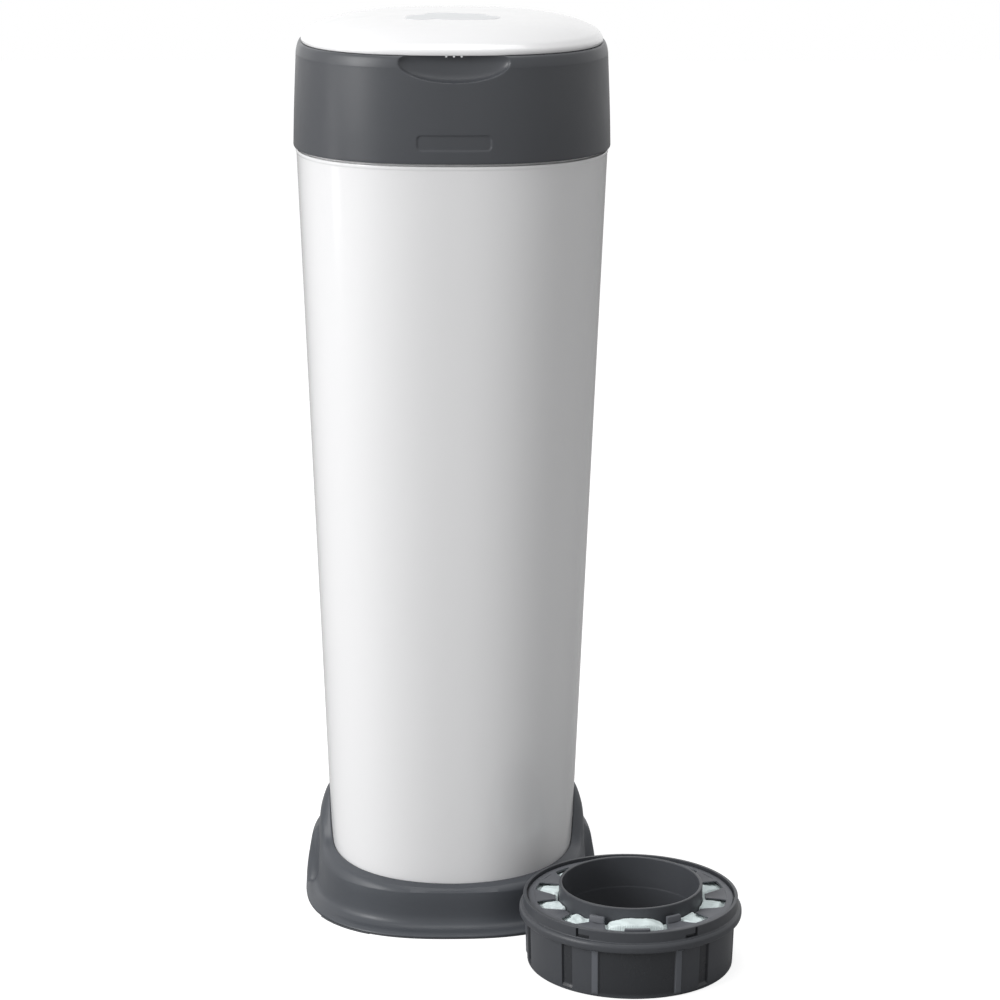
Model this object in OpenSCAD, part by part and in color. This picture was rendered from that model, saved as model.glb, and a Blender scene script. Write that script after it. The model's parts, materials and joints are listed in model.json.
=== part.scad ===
// Nappy bin with a tilting twist head, a hinged lid and a spare refill cassette.
// Origin on the floor under the bin's axis, +Z up, the front faces -Y.

/* [Body] */
// Width of the body just under the collar
body_top_w = 247; // [230:1:262]
// Width of the body where it stands in the base
body_foot_w = 198; // [180:1:214]
// Height of the collar's lower edge above the floor
collar_z = 628; // [420:1:720]
// Height at which the tub's wall starts inside the base
tub_z = 10; // [9:0.5:14]
// Height of the tub's floor above its lower edge
tub_floor_rise = 6; // [5:0.5:12]
// Thickness of the tub's wall
tub_wall = 2.5; // [2:0.1:3]
// Height of the neck that the head sits on
neck_h = 12; // [9:0.5:14]
// Step between the body's side and the neck
neck_step = 3.2; // [2.8:0.1:3.8]
// Height of the bead that runs round the top of the body
bead_h = 2.2; // [1.5:0.1:3]
// Power of the rounded-square plan, where 2 is a circle
plan_power = 2.5; // [2.3:0.05:2.7]

/* [Base] */
// Step from the body's widest part in to the base's foot
foot_inset = 1; // [0.5:0.1:3]
// How much longer the base's foot is to the front and back than to the sides
foot_stretch = 3.5; // [2:0.5:6]
// Share of the way from the tub's foot to the base's foot at which the upright wall stands
wall_share = 0.553; // [0.5:0.001:0.6]
// Height of the base's rim at the front
base_rim_z = 38; // [34:1:48]
// Rise of the rim from the front to the sides
rim_rise = 13; // [8:1:18]
// Further rise of the ear on each side
ear_rise = 38; // [16:1:44]
// Half width of an ear, as an angle about the axis
ear_angle = 12; // [9:1:16]
// Height of the foot wing on each side
wing_h = 50; // [46:1:60]
// Thickness of the base's floor and walls
base_wall = 2.6; // [2:0.1:3]
// Thickness of the soft ring under the base
pad_h = 1.2; // [1:0.1:3]

/* [Collar] */
// Step from the body out to the collar's lower edge
collar_step = 2.1; // [1.8:0.1:4]
// Height of the collar
collar_h = 81; // [79:0.5:95]
// Inward lean of the collar's side from its lower edge to its shoulder
collar_lean = 2.6; // [1:0.1:3.2]
// Thickness of the collar's wall
collar_wall = 2.5; // [2:0.1:3]
// Width of the finger scoop in the collar
scoop_w = 92; // [70:1:100]
// Depth of the finger scoop
scoop_depth = 12; // [9:0.5:12]
// Height of the finger scoop
scoop_h = 19.8; // [16:0.2:24]
// Width of the badge recess
badge_w = 57; // [40:1:70]
// Height of the badge recess
badge_h = 12; // [8:0.2:16]
// Depth of the badge recess
badge_depth = 0.7; // [0.3:0.1:1]

/* [Lid] */
// Step from the collar's shoulder in to the lid's edge
lid_step = 4.3; // [4:0.1:5.5]
// Height of the lid's rim
lid_rim_h = 5.4; // [4:0.1:8]
// Height of the dome above the rim
lid_dome_h = 15; // [14:0.2:26]
// Thickness of the lid
lid_wall = 2.5; // [2:0.1:3]
// Spacing of the grip ribs under the lid's front lip
rib_pitch = 5.8; // [4:0.2:8]

/* [Hinges] */
// Radius of the head hinge pin
head_pin_r = 2.5; // [2:0.1:3]
// Radius of the head hinge knuckles
head_knuckle_r = 5; // [4.6:0.1:5.2]
// Length of the head hinge pin
head_pin_l = 92; // [80:1:110]
// Radius of the lid hinge pin
lid_pin_r = 1.8; // [1.4:0.1:2.2]
// Radius of the lid hinge knuckles
lid_knuckle_r = 4; // [3.6:0.1:4.2]
// Length of the lid hinge pin
lid_pin_l = 76; // [64:1:90]

/* [Cassette] */
// Room between the body's side and the cassette's wall
cassette_room = 42; // [41.5:0.5:46]
// Room for film between the cassette's wall and its inner tube
film_room = 24.8; // [24.4:0.2:28]
// Height of the cassette's wall up to its flange
cassette_wall_h = 40; // [34:1:42]
// Overhang of the cassette's flange
flange_lip = 5.5; // [4:0.5:6]
// Height of the cassette's rim
cassette_rim_h = 56; // [54:0.5:60]
// Height of the cassette's inner tube
tube_h = 64.8; // [62:0.2:65]
// Thickness of the cassette's walls
cassette_wall = 2; // [1.6:0.1:2.4]
// Number of film fingers on each side of the cassette
finger_count = 5; // [4:1:5]
// Angle between neighbouring film fingers
finger_pitch = 31; // [29:0.5:31]

/* [Inner deck] */
// Drop from the collar's top edge to the deck
deck_drop = 7; // [6:0.5:8]
// Thickness of the deck
deck_t = 3; // [2.5:0.1:3.5]
// Space between the cassette's flange and the well
well_gap = 2.5; // [1.5:0.1:3]
// Thickness of the well's wall
well_wall = 2.5; // [2:0.1:3]
// Depth of the seat that the twist ring turns in
seat_drop = 6; // [5:0.2:7]
// Width of the seat that the twist ring turns on
seat_w = 6; // [5:0.5:7]

/* [Twist ring] */
// Number of click teeth round the twist ring
tooth_count = 36; // [24:12:48]
// Depth of a click tooth
tooth_depth = 1.9; // [1.2:0.1:2]
// Height of the hand grips above the ring
grip_h = 5; // [4:0.5:5]
// Travel of the click pawl
pawl_travel = 2; // [1.5:0.1:2.5]

/* [Film cutter] */
// Length of the cutter's rail
rail_l = 78; // [60:1:80]
// Length of the cutter's slider
slider_l = 16; // [12:1:20]

/* [Spare cassette] */
// Space between the base's foot and the spare cassette
spare_gap = 2; // [1.5:0.5:60]
// Bearing of the spare cassette, turned from the bin's side towards its front
spare_bearing = 50.3; // [40:0.1:60]

/* [Hidden] */

// Running gap between pieces that move, and between a piece and its seat
fit = 0.3;
// Facets round the lofted shells and round the turned parts
loft_sides = 72;
base_sides = 96;
turned_fn = 96;

// Body
top_half = body_top_w / 2;
foot_half = body_foot_w / 2;
tub_floor_z = tub_z + tub_floor_rise;
ledge_z = collar_z - 2;
bead_z = ledge_z - bead_h;
bead_out = 0.6;
rim_z = collar_z + neck_h;
neck_half = top_half - neck_step;
neck_in = neck_half - tub_wall;
edge_r = 0.8;

// Base
foot_w_half = top_half - foot_inset;
foot_d_half = foot_w_half + foot_stretch;
wall_half = foot_half + (foot_w_half - foot_half) * wall_share;
flare = foot_w_half - wall_half;
wing_front = -4;
wing_back = 36;
wing_edge = 4;
pad_angle = 47;
pad_spread = 12;
pad_width = 7;
pad_out = 0.8;
screw_r = 1.6;
screw_head_r = 3.2;
base_screw_place = foot_half - 37;
base_boss_r = 4.5;

// Head levels
collar_top = collar_z + collar_h;
collar_half = top_half + collar_step;
shoulder_half = collar_half - collar_lean;
ledge_half = shoulder_half - 3.6;
mouth_half = ledge_half - 8;
deck_z = collar_top - deck_drop;
seat_z = deck_z - seat_drop;
deck_half = shoulder_half - collar_wall - 1.3;
flange_t = 3;
seal_t = 1.7;
seal_z = rim_z + fit;
flange_z = seal_z + seal_t;

// Cassette, measured from its own foot
cassette_r = top_half - cassette_room;
tube_r = cassette_r - film_room;
cassette_top_r = cassette_r + 1;
flange_r = cassette_top_r + flange_lip;
rim_r = cassette_top_r + 2.3;
rim_in = rim_r - 2.6;
ring_seat = cassette_rim_h - 4;
finger_root = rim_in - 6.5;
finger_tip = tube_r + 2.6;
finger_t = 1.8;
finger_angle = 11;
notch_angle = 8;
block_h = 6.6;
spare_place = plan_r(foot_w_half, foot_d_half, -spare_bearing) + pad_out + cassette_r + spare_gap;

// Well and twist ring
well_r = flange_r + well_gap;
skirt_z = seat_z - 8;
cassette_z = skirt_z - 2 - cassette_rim_h;
well_z = cassette_z - fit;
shelf_t = 2.5;
shelf_r = cassette_r - 9.5;
seat_r = well_r + seat_w;
ring_r = seat_r - 1;
ring_in = tube_r + 2;
ring_t = 2.6;
skirt_in_z = cassette_z + ring_seat + block_h + 0.9;

// Finger diaphragm under the well
clamp_t = 1.6;
diaphragm_z = well_z - shelf_t;
diaphragm_in = shelf_r - 26;
diaphragm_drop = 23;
diaphragm_t = 1.5;

// Click pawl in its channel behind the twist ring
pawl_w = 9;
pawl_h = 3.4;
pawl_l = 11;
pawl_y = ring_r - tooth_depth + 0.35;
spring_l = 6;
channel_end = pawl_y + pawl_l + spring_l + 0.4;
cover_t = 1.6;

// Hinges
head_hinge_y = collar_half + 5.4;
head_barrel = head_pin_l / 2 - 16.5;
lid_hinge_y = ledge_half + 4;
lid_hinge_z = collar_top - 3;
lid_barrel = lid_pin_l / 2 - 12.4;
knuckle_gap = 0.5;
knuckle_l = 14;
lid_knuckle_l = 10;

// Lid
lid_half = shoulder_half - lid_step;
lid_z = collar_top + 0.4;
dome_z = lid_z + lid_rim_h;
dome_power = 4.5;
liner_r = mouth_half - 3.5;
liner_t = 2;
liner_z = deck_z + 4;
liner_top = deck_z + 11;
lid_seal_r = seat_r + 2.5;
lid_seal_w = 4;
carrier_wall = 1.6;
liner_screw_r = seat_r - 8;

// Cutter under the front of the well
rail_y = well_r + 12;
rail_w = 13;
rail_h = 7;
rail_z = well_z - shelf_t;
slider_x = slider_l / 2 - rail_l / 2 + 6;
slider_neck = rail_w / 2 - 3 - fit;
knob_drop = 9;

// Finger scoop and badge recess in the front of the collar
scoop_y = -shoulder_half - 1.5;
scoop_z = collar_top - 4.4;
scoop_wall = 2.2;
badge_z = collar_z + 16;

// ---- Shared shapes ----

// Radius of the rounded-square plan at the angle a
function plan_r(w, d, a) = 1 / pow(pow(abs(cos(a)) / w, plan_power)
                                   + pow(abs(sin(a)) / d, plan_power), 1 / plan_power);

function plan_point(w, d, a) = let (r = plan_r(w, d, a)) [r * cos(a), r * sin(a)];

// Outline of the plan with the half width w and the half depth d
function plan(w, d, sides) = [for (i = [0:sides - 1]) plan_point(w, d, 360 * i / sides)];

// A level ring of points with the half width w at the height z
function ring(w, z) = [for (p = plan(w, w, loft_sides)) [p[0], p[1], z]];

function blend(a, b, t) = a + (b - a) * t;

function smooth(t) = let (c = max(0, min(1, t))) c * c * (3 - 2 * c);

// Skin through rings of points, closed by caps or by joining the last ring to the first
module skin(rings, loop = false) {
    n = len(rings[0]);
    m = len(rings);
    sides = [for (j = [0:(loop ? m - 1 : m - 2)], i = [0:n - 1])
             let (k = (j + 1) % m, l = (i + 1) % n)
             [j * n + i, k * n + i, k * n + l, j * n + l]];
    caps = [[for (i = [0:n - 1]) i], [for (i = [n - 1:-1:0]) (m - 1) * n + i]];
    polyhedron(points = [for (r = rings) each r], faces = loop ? sides : concat(sides, caps),
               convexity = 6);
}

// A flat outline in the YZ plane, drawn out from x0 to x1
module along_x(x0, x1) {
    translate([x0, 0, 0])
        rotate([90, 0, 90])
            linear_extrude(x1 - x0)
                children();
}

// A round bar along X
module x_bar(r, x0, x1, y, z) {
    along_x(x0, x1)
        translate([y, z])
            circle(r = r, $fn = 48);
}

// A turned piece over part of a turn, centred on the angle at
module arc(at, spread) {
    rotate(at - spread / 2)
        rotate_extrude(angle = spread, $fn = turned_fn)
            children();
}

// ---- Body ----

// Half width of the tub's outside at the height z
function tub_half(z) = foot_half + (top_half - foot_half) * (z - tub_z) / (collar_z - tub_z);

module tub_bracket() {
    difference() {
        union() {
            polygon([[tub_half(collar_z - 34) - 1.5, collar_z - 34],
                     [tub_half(collar_z - 34) + 1.5, collar_z - 34],
                     [head_hinge_y + head_knuckle_r, collar_z - 4],
                     [head_hinge_y + head_knuckle_r, collar_z],
                     [head_hinge_y - head_knuckle_r + 0.2, collar_z],
                     [head_hinge_y - head_knuckle_r + 0.2, ledge_z],
                     [tub_half(ledge_z) - 1.5, ledge_z]]);
            translate([head_hinge_y, collar_z])
                circle(r = head_knuckle_r, $fn = 48);
        }
        translate([head_hinge_y, collar_z])
            circle(r = head_pin_r + 0.05, $fn = 48);
    }
}

module body_tub() {
    inner_floor = tub_floor_z + tub_wall;
    color("#f4f4f2") {
        difference() {
            skin([
                ring(tub_half(tub_floor_z) - tub_wall, tub_floor_z),
                ring(tub_half(tub_z) - tub_wall, tub_z),
                ring(tub_half(tub_z), tub_z),
                ring(tub_half(bead_z - 1), bead_z - 1),
                ring(tub_half(bead_z) + bead_out, bead_z),
                ring(tub_half(bead_z) + bead_out, ledge_z - edge_r),
                ring(tub_half(ledge_z) - edge_r, ledge_z),
                ring(neck_half, ledge_z),
                ring(neck_half, rim_z - edge_r),
                ring(neck_half - edge_r, rim_z),
                ring(neck_in, rim_z),
                ring(neck_in, ledge_z - 6),
                ring(tub_half(ledge_z - 14) - tub_wall, ledge_z - 14),
                ring(tub_half(inner_floor + 6) - tub_wall, inner_floor + 6),
                ring(tub_half(inner_floor) - tub_wall - 4, inner_floor)
            ]);
            for (a = [45:90:315])
                rotate(a)
                    translate([base_screw_place, 0, tub_z - 1])
                        cylinder(r = screw_r, h = tub_floor_rise + 1, $fn = 24);
        }
        for (a = [45:90:315])
            rotate(a)
                translate([base_screw_place, 0, tub_z + fit])
                    difference() {
                        cylinder(r = base_boss_r, h = tub_floor_rise, $fn = 32);
                        translate([0, 0, -1])
                            cylinder(r = screw_r + 0.05, h = tub_floor_rise + 0.8, $fn = 24);
                    }
        for (side = [0, 1])
            mirror([side, 0, 0])
                along_x(head_barrel + knuckle_gap, head_barrel + knuckle_gap + knuckle_l)
                    tub_bracket();
    }
}

// ---- Base ----

// Angle from the bin's side axis, positive towards the back
function from_side(a) = let (b = a > 180 ? a - 360 : a)
    abs(b) <= 90 ? b : (180 - abs(b)) * sign(b);

// Weight of the foot wing at the angle a
function wing(a) = let (s = from_side(a))
    smooth((s - wing_front) / wing_edge) * smooth((wing_back - s) / wing_edge);

// Weight of the ear at the angle a
function ear(a) = exp(-pow(abs(from_side(a)) / ear_angle, 3));

// Height of the base's rim at the angle a
function base_rim(a) = base_rim_z + rim_rise * pow(1 - abs(from_side(a)) / 90, 1.5) + ear_rise * ear(a);

// A ring of the base whose half width and height blend from plain to winged
function base_ring(plain, winged) = [for (i = [0:base_sides - 1])
    let (a = 360 * i / base_sides,
         t = wing(a),
         w = blend(plain[0], winged[0], t),
         p = plan_point(w, w * (plain[0] > wall_half + flare * 0.4 ? foot_d_half / foot_w_half : 1), a))
    [p[0], p[1], blend(plain[1], winged[1], t)]];

// A ring that follows the rim, out from the tub and down from the rim, on the rim and on the ears
function rim_ring(plain, eared) = [for (i = [0:base_sides - 1])
    let (a = 360 * i / base_sides,
         z = base_rim(a) - blend(plain[1], eared[1], ear(a)),
         w = tub_half(z) + fit + blend(plain[0], eared[0], ear(a)),
         p = plan_point(w, w, a))
    [p[0], p[1], z]];

module base_stand() {
    floor_top = tub_z - fit;
    floor_z = floor_top - base_wall;
    cup_half = tub_half(tub_z) + fit + base_wall;
    color("#565a5f")
        difference() {
            skin([
                base_ring([cup_half - 1, floor_z], [cup_half - 1, floor_z]),
                rim_ring([base_wall, 6], [base_wall, 15]),
                rim_ring([base_wall + 1.4, 6], [base_wall + 1.2, 15]),
                base_ring([wall_half - base_wall - 1, base_rim_z - 7],
                          [wall_half - base_wall - 1, wing_h - 5]),
                base_ring([wall_half - base_wall, 12], [wall_half + flare * 0.62, wing_h * 0.5]),
                base_ring([wall_half - 0.5, 6.5], [foot_w_half - base_wall - 0.2, 12]),
                base_ring([foot_w_half - base_wall, pad_h], [foot_w_half - base_wall, pad_h]),
                base_ring([foot_w_half, pad_h], [foot_w_half, pad_h]),
                base_ring([foot_w_half - 0.8, pad_h + 1.6], [foot_w_half - 0.2, 6]),
                base_ring([wall_half + flare * 0.44, 5.2], [foot_w_half - 1.2, 20]),
                base_ring([wall_half + flare * 0.17, 7.8], [foot_w_half - flare * 0.32, wing_h * 0.62]),
                base_ring([wall_half + flare * 0.04, 11.5], [foot_w_half - flare * 0.6, wing_h * 0.84]),
                base_ring([wall_half, 17], [wall_half + 0.6, wing_h]),
                base_ring([wall_half - 0.6, base_rim_z - 4.5], [wall_half - 0.4, wing_h + 3]),
                rim_ring([7.6, 4.6], [9.9, 32]),
                rim_ring([3.4, 1], [6.2, 14]),
                rim_ring([1.2, 0], [1.2, 1.6]),
                rim_ring([0, 0.6], [0, 0.6]),
                base_ring([tub_half(tub_z + 2) + fit, tub_z + 2], [tub_half(tub_z + 2) + fit, tub_z + 2]),
                base_ring([tub_half(tub_z) + fit, floor_top], [tub_half(tub_z) + fit, floor_top])
            ]);
            for (a = [45:90:315])
                rotate(a)
                    translate([base_screw_place, 0, 0])
                        cylinder(r = screw_r + 0.2, h = tub_z + 1, $fn = 24);
        }
}

// A soft ring under the base that swells into four pads at its corners
module foot_ring() {
    in = base_wall + 0.2;
    color("#2a2b2d")
        linear_extrude(pad_h) {
            difference() {
                polygon(plan(foot_w_half - 0.2, foot_d_half - 0.2, base_sides));
                polygon(plan(foot_w_half - in, foot_d_half - in, base_sides));
            }
            for (a = [-pad_angle, pad_angle, 180 - pad_angle, 180 + pad_angle])
                polygon(concat(
                    [for (t = [-pad_spread:4:pad_spread])
                        plan_point(foot_w_half + pad_out, foot_d_half + pad_out, a + t)],
                    [for (t = [pad_spread:-4:-pad_spread])
                        plan_point(foot_w_half - pad_width, foot_d_half - pad_width, a + t)]));
        }
}

// A countersunk-free pan screw, its head under z and its shank going up
module pan_screw(shank, length) {
    translate([0, 0, -1.7])
        cylinder(r = screw_head_r, h = 1.7, $fn = 32);
    cylinder(r = shank, h = length, $fn = 24);
}

module base_screws() {
    color("#b9bcc0")
        for (a = [45:90:315])
            rotate(a)
                translate([base_screw_place, 0, tub_z - fit - base_wall])
                    pan_screw(screw_r - 0.05, base_wall + tub_floor_rise);
}

// ---- Head ----

module head_hinge_pin() {
    color("#b9bcc0") {
        x_bar(head_pin_r, -head_pin_l / 2, head_pin_l / 2, head_hinge_y, collar_z);
        x_bar(head_pin_r + 1.2, head_pin_l / 2, head_pin_l / 2 + 1.2, head_hinge_y, collar_z);
    }
}

// Half width of the collar's outside at the height z up to its shoulder
function collar_out(z) = collar_half - collar_lean * pow((z - collar_z) / (collar_h - 10), 1.3);

// An ellipsoid with the half axes a, b and c, its poles along Z
module ellipsoid(a, b, c) {
    turns = [for (i = [0:29]) i * 12];
    skin([for (t = [-80:16:80]) [for (u = turns) [a * cos(t) * cos(u), b * cos(t) * sin(u), c * sin(t)]]]);
}

module scoop(grow) {
    translate([0, scoop_y, scoop_z])
        ellipsoid(scoop_w / 2 + grow, scoop_depth + grow, scoop_h - (collar_top - scoop_z) + grow);
}

module badge_recess() {
    corner = 2.6;
    low = badge_z - badge_h / 2 - 1;
    high = badge_z + badge_h / 2 + 1;
    difference() {
        translate([0, 0, badge_z])
            rotate([90, 0, 0])
                linear_extrude(collar_half + 1)
                    union() {
                        square([badge_w - 2 * corner, badge_h], center = true);
                        square([badge_w, badge_h - 2 * corner], center = true);
                        for (x = [-1, 1], y = [-1, 1])
                            translate([x * (badge_w / 2 - corner), y * (badge_h / 2 - corner)])
                                circle(r = corner, $fn = 24);
                    }
        skin([ring(collar_out(low) - badge_depth, low), ring(collar_out(high) - badge_depth, high)]);
    }
}

function deck_screw_place() = plan_r(1, 1, 45) * (mouth_half + collar_wall + shoulder_half - collar_wall) / 2;

module collar() {
    lean_z = collar_z + collar_h * 0.36;
    upper_z = collar_z + collar_h * 0.75;
    color("#55585c") {
        difference() {
            union() {
                skin([
                    ring(collar_half - edge_r, collar_z),
                    ring(collar_half, collar_z + 1.2),
                    ring(collar_out(lean_z), lean_z),
                    ring(collar_out(upper_z), upper_z),
                    ring(shoulder_half, collar_top - 10),
                    ring(shoulder_half - 0.6, collar_top - 5),
                    ring(shoulder_half - 1.5, collar_top - 2),
                    ring(ledge_half + 0.8, collar_top - 0.5),
                    ring(ledge_half, collar_top),
                    ring(mouth_half + edge_r, collar_top),
                    ring(mouth_half, collar_top - edge_r),
                    ring(mouth_half, deck_z),
                    ring(mouth_half + collar_wall, deck_z),
                    ring(mouth_half + collar_wall, collar_top - 3),
                    ring(shoulder_half - collar_wall - 1.2, collar_top - 3),
                    ring(shoulder_half - collar_wall, collar_top - 8),
                    ring(collar_out(upper_z) - collar_wall, upper_z),
                    ring(collar_out(lean_z) - collar_wall, lean_z),
                    ring(collar_half - collar_wall, collar_z)
                ], loop = true);
                translate([0, 0, flange_z])
                    linear_extrude(flange_t)
                        difference() {
                            polygon(plan(collar_half - collar_wall + 0.8,
                                         collar_half - collar_wall + 0.8, loft_sides));
                            polygon(plan(neck_in, neck_in, loft_sides));
                        }
                intersection() {
                    scoop(scoop_wall);
                    skin([ring(collar_out(collar_z + 30), collar_z + 30),
                          ring(shoulder_half - 0.4, collar_top - 8),
                          ring(ledge_half + 0.2, collar_top)]);
                }
                for (a = [45:90:315])
                    rotate(a)
                        translate([deck_screw_place(), 0, deck_z])
                            cylinder(r = 3, h = deck_drop - 2, $fn = 24);
            }
            scoop(0);
            badge_recess();
            for (a = [45:90:315])
                rotate(a)
                    translate([deck_screw_place(), 0, deck_z - 1])
                        cylinder(r = screw_r, h = 5, $fn = 24);
            x_bar(lid_knuckle_r + 0.6, -lid_barrel - knuckle_gap, lid_barrel + knuckle_gap,
                  lid_hinge_y, lid_hinge_z);
        }
        collar_hinge_barrel();
        for (side = [0, 1])
            mirror([side, 0, 0])
                collar_lid_knuckle();
    }
}

// Barrel of the head hinge, carried by the back of the collar
module collar_hinge_barrel() {
    along_x(-head_barrel, head_barrel)
        difference() {
            union() {
                translate([head_hinge_y, collar_z])
                    circle(r = head_knuckle_r, $fn = 48);
                polygon([[collar_half - collar_wall + 0.4, collar_z + 1.2],
                         [head_hinge_y - 2, collar_z + 1.2],
                         [head_hinge_y + 2, collar_z + 4],
                         [collar_half - 1.4, collar_z + 20],
                         [collar_half - collar_wall + 0.4, collar_z + 20]]);
            }
            translate([head_hinge_y, collar_z])
                circle(r = head_pin_r + 0.1, $fn = 48);
        }
}

module collar_lid_knuckle() {
    along_x(lid_barrel + knuckle_gap, lid_barrel + knuckle_gap + lid_knuckle_l)
        difference() {
            union() {
                translate([lid_hinge_y, lid_hinge_z])
                    circle(r = lid_knuckle_r, $fn = 48);
                polygon([[ledge_half - 0.5, collar_top - 1],
                         [ledge_half - 0.5, collar_top - 20],
                         [shoulder_half - 0.6, collar_top - 20],
                         [lid_hinge_y + lid_knuckle_r, lid_hinge_z - 1],
                         [lid_hinge_y + lid_knuckle_r, lid_hinge_z],
                         [lid_hinge_y - 2, lid_hinge_z]]);
            }
            translate([lid_hinge_y, lid_hinge_z])
                circle(r = lid_pin_r + 0.05, $fn = 48);
        }
}

module lid_hinge_pin() {
    color("#b9bcc0")
        x_bar(lid_pin_r, -lid_pin_l / 2, lid_pin_l / 2, lid_hinge_y, lid_hinge_z);
}

module head_seal() {
    color("#2a2b2d")
        translate([0, 0, seal_z])
            linear_extrude(seal_t)
                difference() {
                    polygon(plan(neck_half, neck_half, loft_sides));
                    polygon(plan(neck_in + 0.2, neck_in + 0.2, loft_sides));
                }
}

module inner_deck() {
    cover_y = seat_r + 1.6;
    color("#6a6e73")
        difference() {
            union() {
                translate([0, 0, deck_z - deck_t])
                    linear_extrude(deck_t)
                        difference() {
                            polygon(plan(deck_half, deck_half, loft_sides));
                            circle(r = seat_r + 1, $fn = turned_fn);
                        }
                rotate_extrude($fn = turned_fn)
                    polygon([[seat_r, deck_z], [seat_r + 3, deck_z],
                             [seat_r + 3, seat_z - 3], [well_r + well_wall, seat_z - 3],
                             [well_r + well_wall, well_z - shelf_t], [shelf_r, well_z - shelf_t],
                             [shelf_r, well_z], [well_r, well_z],
                             [well_r, seat_z], [seat_r, seat_z]]);
                translate([-pawl_w / 2 - 3, seat_r + 1, seat_z - 3])
                    cube([pawl_w + 6, channel_end - seat_r + 1.5, deck_z - seat_z + 3]);
                translate([0, 0, well_z - shelf_t])
                    linear_extrude(shelf_t)
                        difference() {
                            translate([-rail_l / 2, -rail_y - rail_w / 2])
                                square([rail_l, 30]);
                            circle(r = well_r + 1, $fn = turned_fn);
                        }
            }
            translate([-pawl_w / 2 - fit, ring_r - 3, seat_z])
                cube([pawl_w + 2 * fit, channel_end - ring_r + 3, deck_drop + seat_drop]);
            translate([-pawl_w / 2 - 1.5, cover_y, deck_z - cover_t])
                cube([pawl_w + 3, channel_end - cover_y + 0.9, cover_t + 1]);
            for (a = [45:90:315])
                rotate(a)
                    translate([deck_screw_place(), 0, deck_z - deck_t - 1])
                        cylinder(r = screw_r + 0.2, h = deck_t + 2, $fn = 24);
            scoop(scoop_wall + fit);
        }
}

module pawl_cover() {
    cover_y = seat_r + 1.6;
    color("#5a5e63")
        translate([-pawl_w / 2 - 1.3, cover_y + 0.2, deck_z - cover_t])
            cube([pawl_w + 2.6, channel_end - cover_y + 0.5, cover_t]);
}

module deck_screws() {
    color("#b9bcc0")
        for (a = [45:90:315])
            rotate(a)
                translate([deck_screw_place(), 0, deck_z - deck_t])
                    pan_screw(screw_r - 0.05, deck_t + 3.8);
}

module retaining_fingers() {
    slot_w = 3;
    root_r = shelf_r + 2;
    color("#dfe3e4")
        difference() {
            rotate_extrude($fn = turned_fn)
                polygon([[well_r + well_wall, diaphragm_z], [well_r + well_wall, diaphragm_z - diaphragm_t],
                         [root_r, diaphragm_z - diaphragm_t],
                         [diaphragm_in + 1, diaphragm_z - diaphragm_drop - diaphragm_t],
                         [diaphragm_in, diaphragm_z - diaphragm_drop],
                         [root_r - 0.4, diaphragm_z]]);
            for (a = [0:30:330])
                rotate(a)
                    translate([diaphragm_in - 4, -slot_w / 2, diaphragm_z - diaphragm_drop - 8])
                        cube([root_r - diaphragm_in + 1, slot_w, diaphragm_drop + 10]);
        }
}

module finger_clamp() {
    color("#6a6e73")
        rotate_extrude($fn = turned_fn)
            translate([shelf_r + 6, diaphragm_z - diaphragm_t - clamp_t])
                square([well_r + well_wall - shelf_r - 6, clamp_t]);
}

module click_pawl() {
    tip = pawl_y;
    color("#d8dadb")
        translate([0, 0, seat_z + fit])
            linear_extrude(pawl_h)
                polygon([[0, tip], [3.5, tip + 1], [pawl_w / 2, tip + 1.4], [pawl_w / 2, tip + pawl_l],
                         [-pawl_w / 2, tip + pawl_l], [-pawl_w / 2, tip + 1.4], [-3.5, tip + 1]]);
}

// A folded plastic spring whose leaves run across the channel
module pawl_spring() {
    leaf = 0.6;
    folds = 4;
    reach = pawl_w / 2 - 0.6;
    pitch = (spring_l - leaf) / folds;
    start = pawl_y + pawl_l + 0.1;
    color("#d8dadb")
        translate([0, 0, seat_z + 0.8])
            linear_extrude(2.4)
                union() {
                    for (i = [0:folds])
                        translate([-reach, start + i * pitch])
                            square([2 * reach, leaf]);
                    for (i = [0:folds - 1])
                        translate([i % 2 == 0 ? reach - leaf : -reach, start + i * pitch])
                            square([leaf, pitch + leaf]);
                }
}

// ---- Lid ----

// Height of the dome's outside at the share s of the lid's half width
function dome(s) = dome_z + lid_dome_h * (1 - pow(s, dome_power));

module lid_shell() {
    steps = [0.97, 0.92, 0.84, 0.72, 0.56, 0.36, 0.12];
    under = [0.1, 0.4, 0.65, 0.85, 0.95];
    color("#f6f6f4") {
        difference() {
            union() {
                skin(concat(
                    [for (s = under) ring(lid_half * s, dome(s) - lid_wall)],
                    [ring(lid_half - lid_wall - 0.2, lid_z + 2.6),
                     ring(lid_half - lid_wall, lid_z + 0.6),
                     ring(lid_half - lid_wall + 0.6, lid_z),
                     ring(lid_half - 1, lid_z),
                     ring(lid_half, lid_z + 1.2),
                     ring(lid_half, lid_z + lid_rim_h - 2),
                     ring(lid_half - 0.7, lid_z + lid_rim_h - 0.4)],
                    [for (s = steps) ring(lid_half * s, dome(s))]));
                for (a = [45:90:315])
                    rotate(a)
                        translate([liner_screw_r, 0, liner_top + liner_t])
                            cylinder(r = 4, h = dome(liner_screw_r / lid_half) - lid_wall / 2
                                     - liner_top - liner_t, $fn = 32);
            }
            for (a = [45:90:315])
                rotate(a)
                    translate([liner_screw_r, 0, liner_top])
                        cylinder(r = screw_r, h = 6, $fn = 24);
        }
        for (i = [-1:1])
            translate([i * rib_pitch - 0.8, -lid_half + 1.4, lid_z - 2.4])
                cube([1.6, 3.6, 3.4]);
        lid_barrel();
    }
}

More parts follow.
